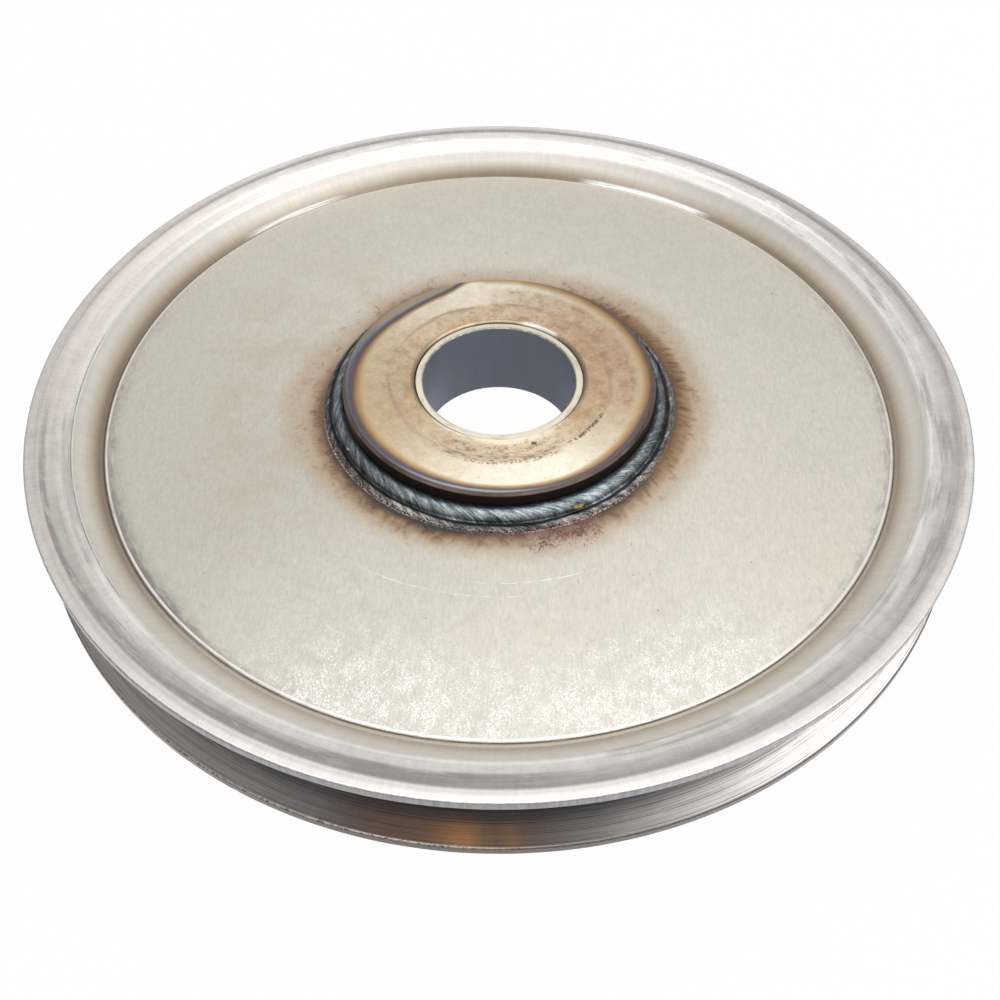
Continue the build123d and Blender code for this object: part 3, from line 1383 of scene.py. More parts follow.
@dataclass(frozen=True)
class HubSteel:
    """Turned hub: straw and gold on its ends, tinted to blue along the edge, its side painted near
    black as shade.
    """

    edge: float                     # radius where the flat end meets the chamfer, mm
    bore: float                     # outer radius of the bush, mm

    def material(self) -> bpy.types.Material:
        """Builds the hub's material.

        Returns:
            The material.
        """
        graph = Graph.material("hub_steel")
        place = graph.place()
        colour = self._tint(self._face(place), place)
        wall = place.radius.step(self.edge + 0.75, self.edge + 0.95)
        chamfer = place.radius.step(self.edge + 0.02, self.edge + 0.12)
        sheen = place.noise(9.0, 3.0, seed=4.0)
        colour = colour.mixed(graph.ramp(sheen, BROWNED_BEVEL), chamfer)
        # Painted shade: the chamfer's upper edge is darkened at the front, where it would catch a
        # highlight.
        corner = place.radius.band(self.edge + 0.02, 0.14, 0.24) * place.lobe(-95.0, 65.0, 30.0)
        colour = colour.mixed((0.11, 0.088, 0.080), corner * 0.7)
        # Painted shade: the hub's side is made near black, browner at the left and right.
        brown = place.lobe(180.0, 18.0, 22.0).most(place.lobe(0.0, 10.0, 20.0) * 0.8)
        wall_shade = graph.flat((0.032, 0.024, 0.021)).mixed((0.15, 0.115, 0.095), brown)
        colour = colour.mixed(wall_shade, wall)
        ring = place.radius.step(self.bore + 0.38, self.bore + 0.14)
        colour = colour.mixed(JOINT_DIRT, ring * joint_dirt(place))
        rings = place.lines(place.radius, 0.30, 2.0)
        grain = place.noise(0.5, 2.0, 0.6, seed=6.0)
        relief = rings * 0.014 + grain * 0.006
        shine = 0.36 + (place.noise(4.0, 3.0, seed=8.0) - 0.5) * 0.24 + wall * 0.15
        return graph.finish(colour, 0.95, shine, relief)

    def _face(self, place: Place) -> Colour:
        """The flat end: straw steel with painted glare round the bearing, rust, ground rings and
        worn patches, and painted shade and glints on the bore's chamfer.

        Args:
            place: The shaded point.

        Returns:
            The end's colour.
        """
        radius = place.radius
        mottle = place.noise(3.2, 4.0, 0.62, seed=12.0)
        grit = place.noise(0.9, 3.0, 0.75, seed=19.0)
        # Painted highlight: glare on the turned face, brightest at the front and back, in a warm
        # glow colour.
        glare = place.by_bearing(
            (-180, 0.06), (-150, 0.0), (-122, 0.33), (-105, 0.6), (-88, 0.82), (-62, 0.85),
            (-45, 0.48), (-30, 0.24), (-10, 0.12), (35, 0.14), (60, 0.38), (80, 0.66), (95, 0.74),
            (115, 0.62), (130, 0.48), (150, 0.22),
        )
        colour = place.graph.flat((0.560, 0.430, 0.282)).scaled(0.56 + mottle * 0.62 + grit * 0.26)
        glare = glare * (0.30 + mottle * 0.80 + grit * 0.60)
        glow = place.graph.flat((1.0, 0.865, 0.655))
        glow = glow.mixed((1.0, 0.945, 0.80), radius.step(34.0, 41.0))
        colour = colour.mixed(glow, glare)

        rust = place.noise(4.5, 6.0, 0.78, seed=2.0)
        outer = radius.band(40.0, 3.0, 3.0) * place.lobe(35.0, 45.0, 22.0)
        inner = radius.band(31.5, 3.0, 3.5) * place.lobe(40.0, 70.0, 40.0)
        stained = (outer * 0.85 + inner * 0.8) * rust.step(0.40, 0.72)
        colour = colour.mixed((0.52, 0.335, 0.205), (outer + inner) * 0.32)
        colour = colour.mixed((0.37, 0.20, 0.110), stained * 0.95)
        left = radius.band(33.0, 4.0, 4.0) * place.lobe(178.0, 22.0, 20.0)
        colour = colour.mixed((0.36, 0.215, 0.125), left * rust.step(0.46, 0.70) * 0.7)
        amber = place.noise(2.4, 3.0, 0.6, seed=5.0).step(0.48, 0.70) * radius.band(31.0, 2.0, 3.0)
        colour = colour.mixed((0.50, 0.33, 0.16), amber * 0.6)

        line = radius + (place.around(4.0, 45.0, 2.0, seed=3.0) - 0.5) * 2.6
        worn = place.around(2.0, 30.0, 4.0, seed=6.0, rough=0.65)
        ground = line.band(36.0, 0.3, 0.8) * worn.step(0.40, 0.58)
        strong = line.band(36.3, 0.3, 0.6) * place.lobe(97.0, 30.0, 8.0) * worn.step(0.36, 0.52)
        colour = colour.mixed((0.33, 0.285, 0.225), (ground * 0.5).most(strong * 0.62))
        patch = radius.band(34.2, 2.4, 2.4) * place.lobe(-90.0, 22.0, 20.0)
        torn = place.around(1.3, 9.0, 5.0, seed=9.0, rough=0.78)
        colour = colour.mixed((0.50, 0.36, 0.235), patch * 0.42)
        colour = colour.mixed((0.19, 0.145, 0.110), patch * torn.step(0.46, 0.64) * 0.80)
        crust = radius.band(37.8, 0.4, 0.9) * place.lobe(-84.0, 18.0, 10.0) * grit.step(0.50, 0.60)
        colour = colour.mixed((0.22, 0.105, 0.060), crust * 0.85)
        gouge = radius.band(36.6, 0.3, 0.6) * place.lobe(-41.0, 11.0, 5.0)
        colour = colour.mixed((0.10, 0.062, 0.052), gouge * grit.step(0.48, 0.56) * 0.95)
        mark = place.x.band(10.8, 0.5, 0.5) * place.y.band(-29.6, 0.4, 0.5)
        colour = colour.mixed((0.10, 0.055, 0.040), mark * 0.85)
        speck = place.noise(0.7, 1.0, 0.5, seed=29.0)
        colour = colour.mixed((0.20, 0.145, 0.100), speck.step(0.70, 0.76) * 0.7)
        colour = colour.mixed((1.0, 0.97, 0.90), speck.step(0.27, 0.22) * 0.6)

        # Painted shade on the bore's chamfer, darkest at the left and right, and painted glints on
        # it at the front and back right.
        chamfer = radius.step(self.bore + 1.9, self.bore + 0.9)
        dark = place.by_bearing(
            (-180, 0.75), (-152, 0.3), (-135, 0.0), (-50, 0.0), (-25, 0.3), (0, 0.75), (32, 0.75),
            (52, 0.2), (65, 0.0), (85, 0.35), (120, 0.2), (150, 0.45),
        )
        colour = colour.mixed((0.20, 0.155, 0.115), chamfer * dark)
        glint = place.lobe(60.0, 9.0, 7.0).most(place.lobe(-92.0, 32.0, 20.0) * 0.5)
        return colour.mixed((1.0, 0.98, 0.92), chamfer * glint * 0.85)

    def _tint(self, colour: Colour, place: Place) -> Colour:
        """Lays the heat tint along the edge: gold, brown and blue, then grey outside it, with a
        painted pale highlight at the front.

        Args:
            colour: The colour so far.
            place: The shaded point.

        Returns:
            The colour with the tint laid over.
        """
        line = place.by_bearing(
            (-180, 48.1), (-165, 48.7), (-150, 49.0), (-120, 48.7), (-90, 48.9), (-60, 49.7),
            (-30, 49.5), (0, 50.2), (30, 50.4), (60, 51.2), (90, 52.8), (101, 52.4), (105, 50.4),
            (109, 48.2), (114, 46.8), (121, 45.9), (130, 45.4), (138, 45.4), (147, 45.8),
            (162, 47.0), (180, 48.2),
        )
        width = place.by_bearing(
            (-180, 3.3), (-150, 3.2), (-120, 2.1), (-90, 1.35), (-60, 1.9), (-30, 3.0), (0, 3.3),
            (60, 3.8), (95, 3.6), (106, 1.4), (125, 1.35), (147, 1.7), (162, 2.3),
        )
        wander = (place.around(2.0, 22.0, 4.0, seed=8.0, rough=0.6) - 0.5) * 0.9
        heat = (place.radius - line + wander) / width
        tint = place.graph.ramp(heat / 4.0 + 0.4, HEAT_TINT)
        streak = place.around(1.6, 12.0, 4.0, seed=18.0, rough=0.65)
        tint = tint.scaled(0.80 + streak * 0.40)
        # Painted highlight: a pale blue-grey sheen over the tint at the front.
        pale = place.by_bearing(
            (-180, 0.0), (-132, 0.1), (-112, 0.8), (-95, 0.9), (-78, 0.85), (-60, 0.35),
            (-42, 0.25), (-20, 0.0),
        )
        pale = pale * (1.0 - place.radius.step(self.edge - 0.35, self.edge + 0.05) * 0.75)
        tint = tint.mixed((0.40, 0.435, 0.485), pale * heat.step(-0.15, 0.45) * 0.85)
        warm = heat.step(0.5, 1.2) * place.lobe(122.0, 12.0, 22.0)
        tint = tint.mixed((0.42, 0.35, 0.265), warm * 0.7)
        return colour.mixed(tint, heat.step(-1.7, -0.9) * 0.97)


@dataclass(frozen=True)
class WeldMetal:
    """Fillet weld: blue-grey ripples on the inner run, a darker outer one with a coppery toe, with
    painted light round the bearing, painted highlights on the crests and painted shade in the
    furrow and against the hub.
    """

    hub: float                      # radius of the hub, mm
    seam: float                     # radius of the furrow between the runs, mm
    toe: float                      # radius of the outer toe, mm

    def material(self) -> bpy.types.Material:
        """Builds the weld's material.

        Returns:
            The material.
        """
        graph = Graph.material("weld_metal")
        place = graph.place()
        wander = (place.around(4.0, 32.0, 3.0, seed=2.0) - 0.5) * 1.8
        radius = place.radius + wander
        across = (radius - self.seam) / (self.toe - self.seam)
        hair = place.around(4.0, 0.75, 3.0, seed=4.0, rough=0.65, swirl=-0.042)
        fleck = place.noise(0.40, 2.0, 0.7, seed=1.0)
        lump = place.around(2.2, 5.0, 3.0, seed=14.0, rough=0.6, swirl=-0.03)
        tone = hair * 0.42 + fleck * 0.24 + lump * 0.40 - 0.03
        # Painted highlight along the inner run's crest, and painted light and shade on the run
        # round the bearing.
        crown_highlight = radius.band(self.hub + 2.6, 0.5, 1.5)
        inner = graph.ramp(tone + crown_highlight * 0.06, INNER_RUN)
        inner_light = place.by_bearing(
            (-180, 0.8), (-160, 0.6), (-140, 0.58), (-120, 0.95), (-100, 1.1), (-60, 1.2),
            (-40, 0.95), (-20, 0.6), (0, 0.65),
        )
        # Painted highlight along the outer run's crest, and painted light and shade on the run
        # round the bearing.
        ridge_highlight = radius.band(self.seam + 1.7, 0.4, 0.8)
        outer = graph.ramp(tone + ridge_highlight * 0.05, OUTER_RUN)
        outer_light = place.by_bearing(
            (-180, 0.7), (-150, 0.6), (-135, 0.7), (-120, 1.4), (-105, 1.1), (-85, 0.6), (-70, 1.0),
            (-45, 1.25), (-20, 1.1), (0, 1.4), (30, 1.1),
        )
        colour = inner.scaled(inner_light).mixed(outer.scaled(outer_light), across.step(0.05, 0.35))
        # Painted shade in the furrow between the runs and in the corner against the hub.
        furrow = radius.band(self.seam + 0.55, 0.35, 0.65)
        colour = colour.mixed((0.014, 0.015, 0.018), furrow * 0.85)
        edge = place.radius.step(self.hub + 1.9, self.hub + 0.4)
        colour = colour.mixed((0.014, 0.014, 0.016), edge * 0.85)
        shown = place.by_bearing(
            (-180, 0.35), (-150, 0.6), (-120, 0.85), (-90, 0.8), (-60, 1.0), (-20, 0.8), (0, 1.0),
            (40, 0.8),
        )
        grit = place.noise(0.75, 3.0, 0.7, seed=9.0)
        crust = radius.step(self.toe - 1.0, self.toe - 0.1) * grit.step(0.46, 0.58) * shown
        colour = colour.mixed(graph.ramp(hair, COPPER), crust * 0.8)
        relief = hair * 0.10 + fleck * 0.05
        return graph.finish(colour, 0.9, 0.33 + fleck * 0.2, relief)


@dataclass(frozen=True)
class BushBack:
    """Bright steel end of the bush."""

    outer: float                    # outer radius, mm
    bore: float                     # bore radius, mm

    def material(self) -> bpy.types.Material:
        """Builds the bush end's material.

        Returns:
            The material.
        """
        graph = Graph.material("bush_back")
        place = graph.place()
        rings = place.lines(place.radius, 0.25, 2.0)
        stain = place.around(1.2, 22.0, 3.0, seed=1.0)
        colour = graph.flat((0.82, 0.765, 0.63)).scaled(0.85 + rings * 0.25)
        colour = colour.mixed((0.50, 0.42, 0.30), stain.step(0.50, 0.68) * 0.5)
        ring = place.radius.step(self.outer - 0.36, self.outer - 0.16)
        colour = colour.mixed(JOINT_DIRT, ring * joint_dirt(place))
        grime = place.around(0.7, 6.0, 3.0, seed=7.0, rough=0.7).step(0.34, 0.56)
        inner = place.radius.step(self.bore + 1.0, self.bore + 0.2)
        behind = place.lobe(95.0, 60.0, 35.0)
        colour = colour.mixed((0.17, 0.155, 0.135), inner * behind * (0.35 + grime * 0.45))
        return graph.finish(colour, 0.9, 0.30 + stain * 0.15, rings * 0.006)


class SlidingLayer:
    """Slate-grey sliding layer in the bore."""

    def material(self) -> bpy.types.Material:
        """Builds the layer's material.

        Returns:
            The material.
        """
        graph = Graph.material("sliding_layer")
        place = graph.place()
        cloud = place.noise(9.0, 3.0, 0.6, (1.0, 1.0, 2.5))
        streak = place.around(3.0, 6.0, 3.0, seed=3.0)
        fine = place.noise(0.5, 2.0, 0.6, seed=2.0)
        lit = place.lobe(-175.0, 18.0, 40.0) * place.z.step(4.0, -10.0)
        colour = graph.flat((0.150, 0.168, 0.210))
        colour = colour.scaled(0.78 + cloud * 0.34 + streak * 0.14 + fine * 0.10 + lit * 0.5)
        return graph.finish(colour, 0.25, 0.48 + cloud * 0.15, fine * 0.006)


class Slag:
    """Amber glassy specks that the welding left."""

    def material(self) -> bpy.types.Material:
        """Builds the slag's material.

        Returns:
            The material.
        """
        graph = Graph.material("slag")
        place = graph.place()
        cloud = place.noise(0.8, 3.0, 0.6)
        return graph.finish(graph.ramp(cloud, AMBER), 0.0, 0.22 + cloud * 0.2, cloud * 0.05)


# ---------------------------------------------------------------- pieces
class Zone(Enum):
    """Parts of the disc that are finished differently, as material numbers."""

    WEB = 0
    RIM = 1
    GROOVE = 2


@dataclass(frozen=True)
class Nick:
    """A dent in a lip of the rim."""

    degrees: float
    height: float                   # above the mid-plane
    depth: float
    reach: float                    # how far from its middle it fades out


@dataclass
class Disc:
    """The rolled disc: web, valley, flanges and rope groove in one ring."""

    sizes: SheaveSizes
    web_edge: float = 127.7 * MM
    web_round: float = 0.8 * MM
    valley: float = 128.8 * MM
    valley_drop: float = 1.1 * MM
    valley_round: float = 0.7 * MM
    shoulder: float = 136.4 * MM
    shoulder_drop: float = 2.5 * MM
    shoulder_round: float = 3.4 * MM
    flank_hollow: float = 0.7 * MM
    band_inner: float = 141.0 * MM
    band_drop: float = 1.60 * MM
    crest_inner: float = 145.8 * MM
    crest_outer: float = 149.4 * MM
    crest_drop: float = 0.28 * MM
    crest_round: float = 4.0 * MM
    groove_round: float = 6.825 * MM
    groove_half_angle: float = 22.5
    lip_height: float = 3.0 * MM
    lip_round: float = 0.5 * MM
    corner_guard: float = 0.25 * MM
    facets: int = 720
    nicks: tuple[Nick, ...] = (
        Nick(-124.4, -13.0 * MM, 0.5 * MM, 1.6 * MM),
        Nick(-147.3, 13.6 * MM, 0.4 * MM, 1.2 * MM),
        Nick(-143.2, 13.2 * MM, 0.35 * MM, 1.4 * MM),
        Nick(-62.0, 13.8 * MM, 0.25 * MM, 1.5 * MM),
        Nick(-118.0, -13.6 * MM, 0.35 * MM, 1.2 * MM),
        Nick(48.0, 13.6 * MM, 0.3 * MM, 1.5 * MM),
        Nick(141.0, -13.4 * MM, 0.4 * MM, 1.5 * MM),
    )

    @property
    def lip(self) -> float:
        """Height of the upper lip's lower edge above the mid-plane."""
        return self.sizes.half_rim - self.lip_height

    @property
    def tangent(self) -> tuple[float, float]:
        """Where the groove's side runs into its round bottom.

        Returns:
            The height and the radius there.
        """
        angle = math.radians(self.groove_half_angle)
        height = self.groove_round * math.cos(angle)
        return height, self.sizes.disc_radius - (self.lip - height) / math.tan(angle)

    @property
    def groove_bottom(self) -> float:
        """Radius at the bottom of the groove."""
        angle = math.radians(self.groove_half_angle)
        return self.tangent[1] - self.groove_round * (1.0 - math.sin(angle))

    def half_section(self) -> Section:
        """Draws the section above the mid-plane, then mirrors it below.

        Returns:
            The closed section.
        """
        size = self.sizes
        tangent_height, tangent_radius = self.tangent
        bottom = self.groove_bottom

        section = Section(size.hub_radius, 0.0)
        section.line(size.hub_radius, size.half_web)
        web_edge = section.line(self.web_edge, size.half_web)
        valley = section.line(self.valley, size.half_web - self.valley_drop)
        shoulder_height = size.half_rim - self.shoulder_drop
        shoulder = section.bulge(self.shoulder, shoulder_height, -self.flank_hollow, 10)
        band = section.line(self.band_inner, size.half_rim - self.band_drop)
        crest = section.line(self.crest_inner, size.half_rim - self.crest_drop)
        section.line(self.crest_outer, size.half_rim)
        upper_lip = section.line(size.disc_radius, size.half_rim)
        lower_lip = section.line(size.disc_radius, self.lip)
        section.line(tangent_radius, tangent_height)
        chord = Vector((bottom - tangent_radius, -tangent_height))
        rise = self.groove_round - math.sqrt(self.groove_round**2 - (chord.length / 2) ** 2)
        section.bulge(bottom, 0.0, -rise, 7)
        for corner, radius, segments in (
            (web_edge, self.web_round, 5),
            (valley, self.valley_round, 4),
            (shoulder, self.shoulder_round, 5),
            (band, 2 * self.crest_round, 3),
            (crest, self.crest_round, 3),
            (upper_lip, self.lip_round, 4),
            (lower_lip, self.lip_round, 4),
        ):
            section.round(corner, radius, segments)
        section.guard(self.corner_guard)
        outline = section.mesh
        bmesh.ops.mirror(
            outline, geom=outline.verts[:] + outline.edges[:], matrix=Matrix.Identity(4),
            merge_dist=0.001 * MM, axis="Z",
        )
        return section

    def worn(self, point: Vector, normal: Vector) -> Vector:
        """Movement of a point for the rolled waviness and the nicks of the rim.

        Args:
            point: Where it is.
            normal: The way it faces.

        Returns:
            The movement.
        """
        radius = math.hypot(point.x, point.y)
        if radius < self.web_edge - 2.0 * MM:
            return Vector()
        wave = noise.noise(point * 55.0) * 0.5 + noise.noise(point * 140.0) * 0.25
        lip = max(0.0, (radius - self.crest_inner) / (self.sizes.disc_radius - self.crest_inner))
        flat_depth, lip_depth = 0.04 * MM, 0.10 * MM
        inward = -abs(wave) * (flat_depth + lip_depth * lip)
        for nick in self.nicks:
            centre = on_ring(self.sizes.disc_radius, nick.degrees, nick.height)
            fade = max(0.0, 1.0 - (point - centre).length / nick.reach)
            inward -= nick.depth * fade * fade
        return normal * inward

    def zone(self, centre: Vector) -> Zone:
        """Finds the zone of a face.

        Args:
            centre: The face's centre.

        Returns:
            The zone that it is finished as.
        """
        radius, side = math.hypot(centre.x, centre.y), abs(centre.z)
        if radius < self.web_edge + 0.1 * MM:
            return Zone.WEB
        in_groove = radius - side * 0.35 > self.groove_bottom - 0.8 * MM
        return Zone.GROOVE if in_groove and side < self.lip - self.lip_round / 2 else Zone.RIM

    def build(self, toe: float) -> Piece:
        """Makes the disc and dresses it.

        Args:
            toe: Radius of the weld's outer toe, where the heat tint starts.

        Returns:
            The piece.
        """
        ring = self.half_section().turn(self.facets)
        for face in ring.faces:
            face.material_index = self.zone(face.calc_center_median()).value
        move_points(ring, self.worn)
        steel = self.steel(toe)
        disc = Piece("disc", ring, steel.web(), steel.rim(), steel.rope_groove())
        return disc.stand_for("disc_steel", "sheave_disc")

    def steel(self, toe: float) -> DiscSteel:
        """Fits the disc's finishes to its sizes.

        Args:
            toe: Radius of the weld's outer toe.

        Returns:
            The finishes, which are in millimetres.
        """
        return DiscSteel(
            toe=toe / MM,
            web_edge=self.web_edge / MM,
            shoulder=self.shoulder / MM,
            crest=self.crest_inner / MM,
            edge=self.sizes.disc_radius / MM,
            lip_height=self.lip / MM,
        )


@dataclass
class Hub:
    """The turned ring through the web."""

    sizes: SheaveSizes
    chamfer: float = 1.0 * MM
    bore_chamfer: float = 0.7 * MM
    soft_corner: float = 0.08 * MM
    corner_guard: float = 0.15 * MM
    longest_facet: float = 6.0 * MM
    facets: int = 512

    def build(self) -> Piece:
        """Makes the hub and dresses it.

        Returns:
            The piece.
        """
        size = self.sizes
        radii, chamfers = (size.bush_radius, size.hub_radius), (self.bore_chamfer, self.chamfer)
        section = Section.chamfered(radii, size.half_hub, chamfers, self.soft_corner)
        section.guard(self.corner_guard)
        section.divide(self.longest_facet)
        steel = HubSteel(edge=(size.hub_radius - self.chamfer) / MM, bore=size.bush_radius / MM)
        hub = Piece("hub_ring", section.turn(self.facets), steel.material())
        return hub.stand_for("hub_steel", "hub")


@dataclass
class Bush:
    """The thin bush: a steel back with a sliding layer inside."""

    sizes: SheaveSizes
    outer_chamfer: float = 0.25 * MM
    inner_chamfer: float = 0.35 * MM
    soft_corner: float = 0.06 * MM
    corner_guard: float = 0.12 * MM
    lining: float = 0.12 * MM
    facets: int = 384

    def build(self) -> Piece:
        """Makes the bush and dresses its back and its lining.

        Returns:
            The piece.
        """
        size = self.sizes
        outer, inner = size.bush_radius, size.bore_radius
        chamfers = (self.inner_chamfer, self.outer_chamfer)
        section = Section.chamfered((inner, outer), size.half_bush, chamfers, self.soft_corner)
        section.guard(self.corner_guard)
        ring = section.turn(self.facets)
        for face in ring.faces:
            middle = face.calc_center_median()
            face.material_index = int(math.hypot(middle.x, middle.y) < inner + self.lining)
        back = BushBack(outer / MM, inner / MM).material()
        bush = Piece("bush_ring", ring, back, SlidingLayer().material())
        return bush.stand_for("bush_metal", "bush")


@dataclass
class FilletWeld:
    """A fillet weld between hub and web, laid in two runs."""

    sizes: SheaveSizes
    side: Side
    seam: float = 55.1 * MM
    seam_height: float = 1.3 * MM
    inner_bulge: float = 1.30 * MM
    outer_bulge: float = 0.85 * MM
    ripple_pitch: float = 1.15 * MM
    ripple_height: float = 0.10 * MM
    mean_sag: float = 0.22 * MM
    fade_height: float = 0.5 * MM
    facets: int = 1536

    def _section(self) -> Section:
        """Draws the two runs over the corner of hub and web.

        Returns:
            The closed section.
        """
        size = self.sizes
        section = Section(size.weld_radius, size.half_web)
        section.line(size.hub_radius, size.half_web)
        section.line(size.hub_radius, size.weld_top)
        furrow = size.half_web + self.seam_height
        section.bulge(self.seam, furrow, self.inner_bulge, 14)
        section.bulge(size.weld_radius - 0.001 * MM, size.half_web, self.outer_bulge, 12)
        section.close()
        bmesh.ops.remove_doubles(section.mesh, verts=section.mesh.verts[:], dist=0.01 * MM)
        return section

    def rippled(self, point: Vector, normal: Vector) -> Vector:
        """Movement of a point of the weld's skin: lumps, ripples and a wandering toe.

        Args:
            point: Where it is.
            normal: The way it faces.

        Returns:
            The movement, which is none where the weld meets the web and the hub.
        """
        size = self.sizes
        radius = math.hypot(point.x, point.y)
        above = point.z - size.half_web
        on_web = above < 0.01 * MM and radius < size.weld_radius - 0.3 * MM
        on_hub = radius < size.hub_radius + 0.01 * MM and above < size.weld_top - 0.2 * MM
        if on_web or on_hub:
            return Vector()
        angle = bearing(point)
        run = Vector((math.cos(angle), math.sin(angle), 0.0))
        lump = noise.noise(run * 4.0) * 0.30 + noise.noise(run * 14.0) * 0.22
        inner = radius < self.seam
        middle = (size.hub_radius + self.seam) / 2 if inner else (self.seam + size.weld_radius) / 2
        bow = ((radius - middle) / (2.0 * MM)) ** 2
        jitter = noise.noise(run * 38.0 + Vector((0.0, 0.0, 5.0))) * 1.4
        phase = angle * radius / self.ripple_pitch + bow * 1.2 + jitter
        ripple = (abs(math.sin(phase * math.pi)) - 0.6) * self.ripple_height
        fine = noise.noise(point * 1400.0) * 0.06
        fade = min(1.0, max(0.0, above) / self.fade_height)
        toe = (noise.noise(run * 9.0) * 0.5 + noise.noise(run * 40.0) * 0.4) * (1.0 - fade)
        raised = ((lump + fine) * MM - self.mean_sag + ripple) * fade
        return normal * raised + run * min(0.0, toe - 0.02) * MM

    def build(self, finish: bpy.types.Material) -> Piece:
        """Makes the weld on its side of the disc.

        Args:
            finish: The weld's material.

        Returns:
            The piece.
        """
        ring = self._section().turn(self.facets)
        move_points(ring, self.rippled)
        if self.side is Side.BOTTOM:
            turn_over = Matrix.Rotation(math.pi, 4, "X")
            bmesh.ops.transform(ring, matrix=turn_over, verts=ring.verts[:])
        node = f"weld_{self.side.name.lower()}"
        return Piece(f"{node}_bead", ring, finish).stand_for("weld_metal", node)

    def finish(self) -> bpy.types.Material:
        """The weld's material."""
        size = self.sizes
        return WeldMetal(size.hub_radius / MM, self.seam / MM, size.weld_radius / MM).material()


@dataclass(frozen=True)
class Speck:
    """One speck of slag on the upper weld, by the place of its middle."""

    radius: float
    degrees: float
    height: float
    length: float                   # round the axis
    width: float


@dataclass
class SlagSpecks:
    """The amber specks of slag that lie on the upper weld."""

    specks: tuple[Speck, ...] = (
        Speck(55.0 * MM, -63.8, 8.0 * MM, 3.8 * MM, 1.5 * MM),
        Speck(54.2 * MM, -151.2, 8.3 * MM, 1.6 * MM, 1.0 * MM),
        Speck(53.6 * MM, -43.0, 8.9 * MM, 1.2 * MM, 0.8 * MM),
        Speck(55.5 * MM, -34.2, 7.9 * MM, 0.7 * MM, 0.5 * MM),
    )
    flatness: float = 0.45          # thickness as a share of the width
    crumple: float = 0.22 * MM

    def build(self, finish: bpy.types.Material) -> Piece:
        """Makes the specks as one piece.

        Args:
            finish: The slag's material.

        Returns:
            The piece.
        """
        mesh = bmesh.new()
        for speck in self.specks:
            place = Matrix.Translation(on_ring(speck.radius, speck.degrees, speck.height))
            turn = Matrix.Rotation(math.radians(speck.degrees + 90.0), 4, "Z")
            shape = Matrix.Diagonal((speck.length, speck.width, self.flatness * speck.width, 1.0))
            placed = place @ turn @ shape
            bmesh.ops.create_icosphere(mesh, subdivisions=3, radius=0.5, matrix=placed)
        move_points(mesh, self._crumpled)
        return Piece("slag_specks", mesh, finish).stand_for("weld_metal")

    def _crumpled(self, point: Vector, normal: Vector) -> Vector:
        """Movement of a point of a speck's skin."""
        return normal * noise.noise(point * 900.0) * self.crumple


# ---------------------------------------------------------------- stage
@dataclass(frozen=True)
class Lamp:
    """A soft rectangular lamp that faces the sheave."""

    name: str
    place: Triple
    width: float
    height: float
    brightness: float               # of its face, where 1 shows as plain white


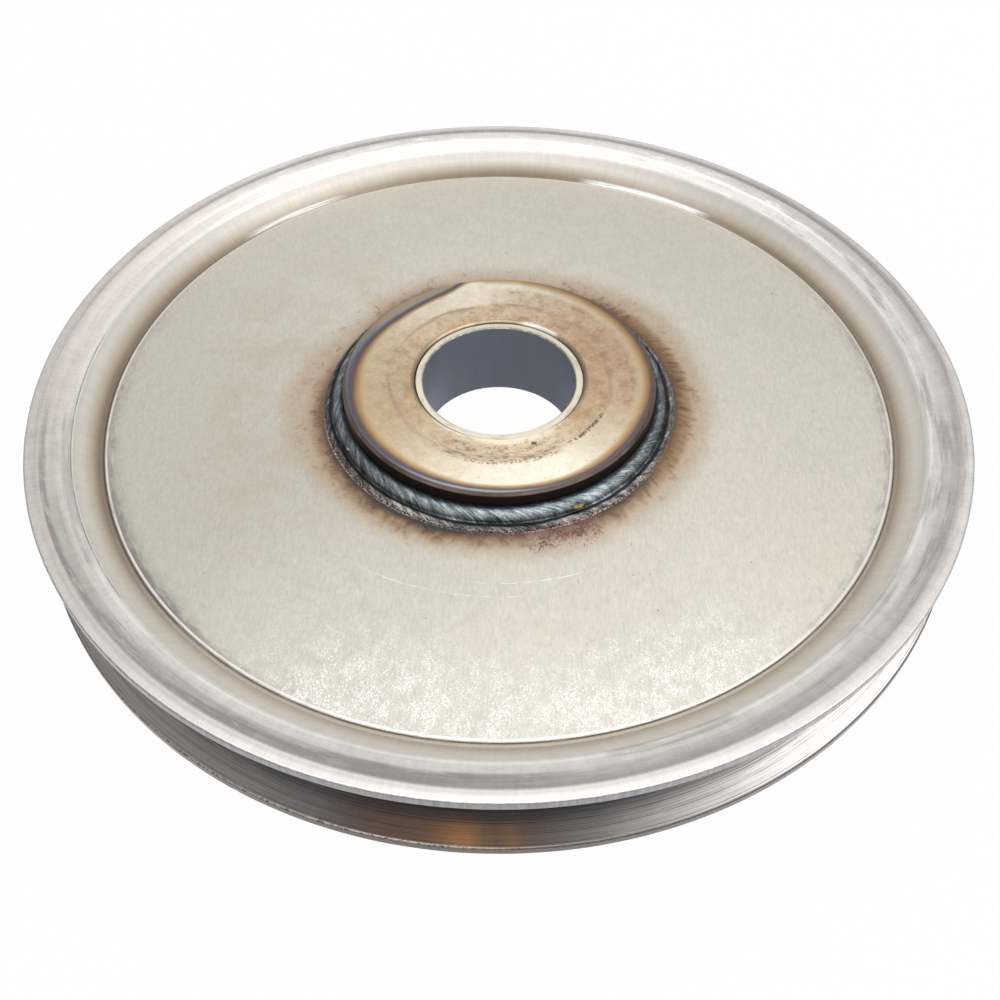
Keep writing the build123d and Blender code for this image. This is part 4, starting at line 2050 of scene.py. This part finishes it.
@dataclass
class Studio:
    """Pale floor, white surround, soft lamps and the camera."""

    floor_height: float
    floor_half: float = 3.0
    floor_tone: RGB = (0.86, 0.86, 0.86)
    floor_glow: float = 0.96
    fill: float = 0.66
    camera_place: Triple = (0.0004, -0.2800, 0.2777)
    camera_tilt: float = 49.183
    camera_roll: float = 0.2425
    lens: float = 42.249
    sensor: float = 36.0
    lamps: tuple[Lamp, ...] = (
        Lamp("overhead_softbox", (0.20, 0.95, 3.88), 3.4, 3.6, 1.20),
        Lamp("front_softbox", (0.20, -1.95, 2.35), 5.0, 1.3, 1.02),
        Lamp("side_softbox", (2.00, -0.28, 2.20), 2.2, 1.8, 1.25),
    )

    def floor(self) -> None:
        """Makes the floor, which shows white and keeps the soft shadow."""
        mesh = bmesh.new()
        centre = Matrix.Translation((0.0, 0.0, self.floor_height))
        bmesh.ops.create_grid(
            mesh, x_segments=1, y_segments=1, size=self.floor_half, matrix=centre
        )
        graph = Graph.material("floor")
        path = graph.node("ShaderNodeLightPath")
        rays = ("Is Camera Ray", "Is Glossy Ray", "Is Transmission Ray")
        seen, mirrored, through = (Value(graph, path.outputs[ray]) for ray in rays)
        share = seen.most(mirrored).most(through) * self.floor_glow
        matt = graph.node("ShaderNodeBsdfDiffuse", None, {"Color": self.floor_tone})
        white = graph.node("ShaderNodeEmission", None, {"Color": WHITE, "Strength": 1.0})
        inputs = {0: share, 1: matt.outputs[0], 2: white.outputs[0]}
        mixed = graph.node("ShaderNodeMixShader", None, inputs)
        graph.node("ShaderNodeOutputMaterial", None, {"Surface": mixed.outputs[0]})
        Piece("floor", mesh, graph.owner).object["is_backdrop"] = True

    def surround(self) -> None:
        """Lights everything from a white surround, which itself shows as plain white."""
        world = bpy.data.worlds.new("surround")
        graph = Graph(world)
        path = graph.node("ShaderNodeLightPath")
        inputs = {0: path.outputs["Is Camera Ray"]}
        for index, strength in enumerate((self.fill, 1.0), start=1):
            settings = {"Color": WHITE, "Strength": strength}
            inputs[index] = graph.node("ShaderNodeBackground", None, settings).outputs[0]
        mixed = graph.node("ShaderNodeMixShader", None, inputs)
        graph.node("ShaderNodeOutputWorld", None, {"Surface": mixed.outputs[0]})
        bpy.context.scene.world = world

    @staticmethod
    def hang(lamp: Lamp) -> None:
        """Hangs a lamp in the scene.

        Args:
            lamp: The lamp.
        """
        data = bpy.data.lights.new(lamp.name, "AREA")
        data.shape = "RECTANGLE"
        data.size, data.size_y = lamp.width, lamp.height
        data.energy = lamp.brightness * math.pi * lamp.width * lamp.height
        hung = bpy.data.objects.new(lamp.name, data)
        hung.location = lamp.place
        hung.rotation_euler = (-Vector(lamp.place)).to_track_quat("-Z", "Y").to_euler()
        bpy.context.scene.collection.objects.link(hung)

    def camera(self) -> None:
        """Sets up the camera, looking down at the sheave from the front."""
        data = bpy.data.cameras.new("camera")
        data.sensor_width = self.sensor
        data.lens = self.lens
        data.clip_start = 0.01
        camera = bpy.data.objects.new("camera", data)
        tilt = Matrix.Rotation(math.radians(90.0 - self.camera_tilt), 4, "X")
        roll = Matrix.Rotation(math.radians(self.camera_roll), 4, "Z")
        camera.matrix_world = Matrix.Translation(self.camera_place) @ tilt @ roll
        bpy.context.scene.collection.objects.link(camera)
        bpy.context.scene.camera = camera

    def build(self) -> None:
        """Sets the whole stage."""
        self.floor()
        self.surround()
        for lamp in self.lamps:
            self.hang(lamp)
        self.camera()
        bpy.context.scene.view_settings.view_transform = "Standard"


def corners(box: Sequence[Sequence[float]]) -> list[list[float]]:
    """A box's two corners as plain lists of numbers."""
    return [[float(number) for number in corner] for corner in box]


def main() -> None:
    """Builds the sheave round its frame, and its stage."""
    logging.basicConfig(level=logging.INFO, format="%(name)s: %(message)s")
    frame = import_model()
    cad_box = corners(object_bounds())
    sizes = SheaveSizes.from_frame(frame["record"])

    Disc(sizes).build(sizes.weld_radius)
    Hub(sizes).build()
    Bush(sizes).build()
    weld_finish = FilletWeld(sizes, Side.TOP).finish()
    for side in Side:
        FilletWeld(sizes, side).build(weld_finish)
    SlagSpecks().build(Slag().material())
    Studio(floor_height=cad_box[0][2]).build()


if __name__ == "__main__":
    main()
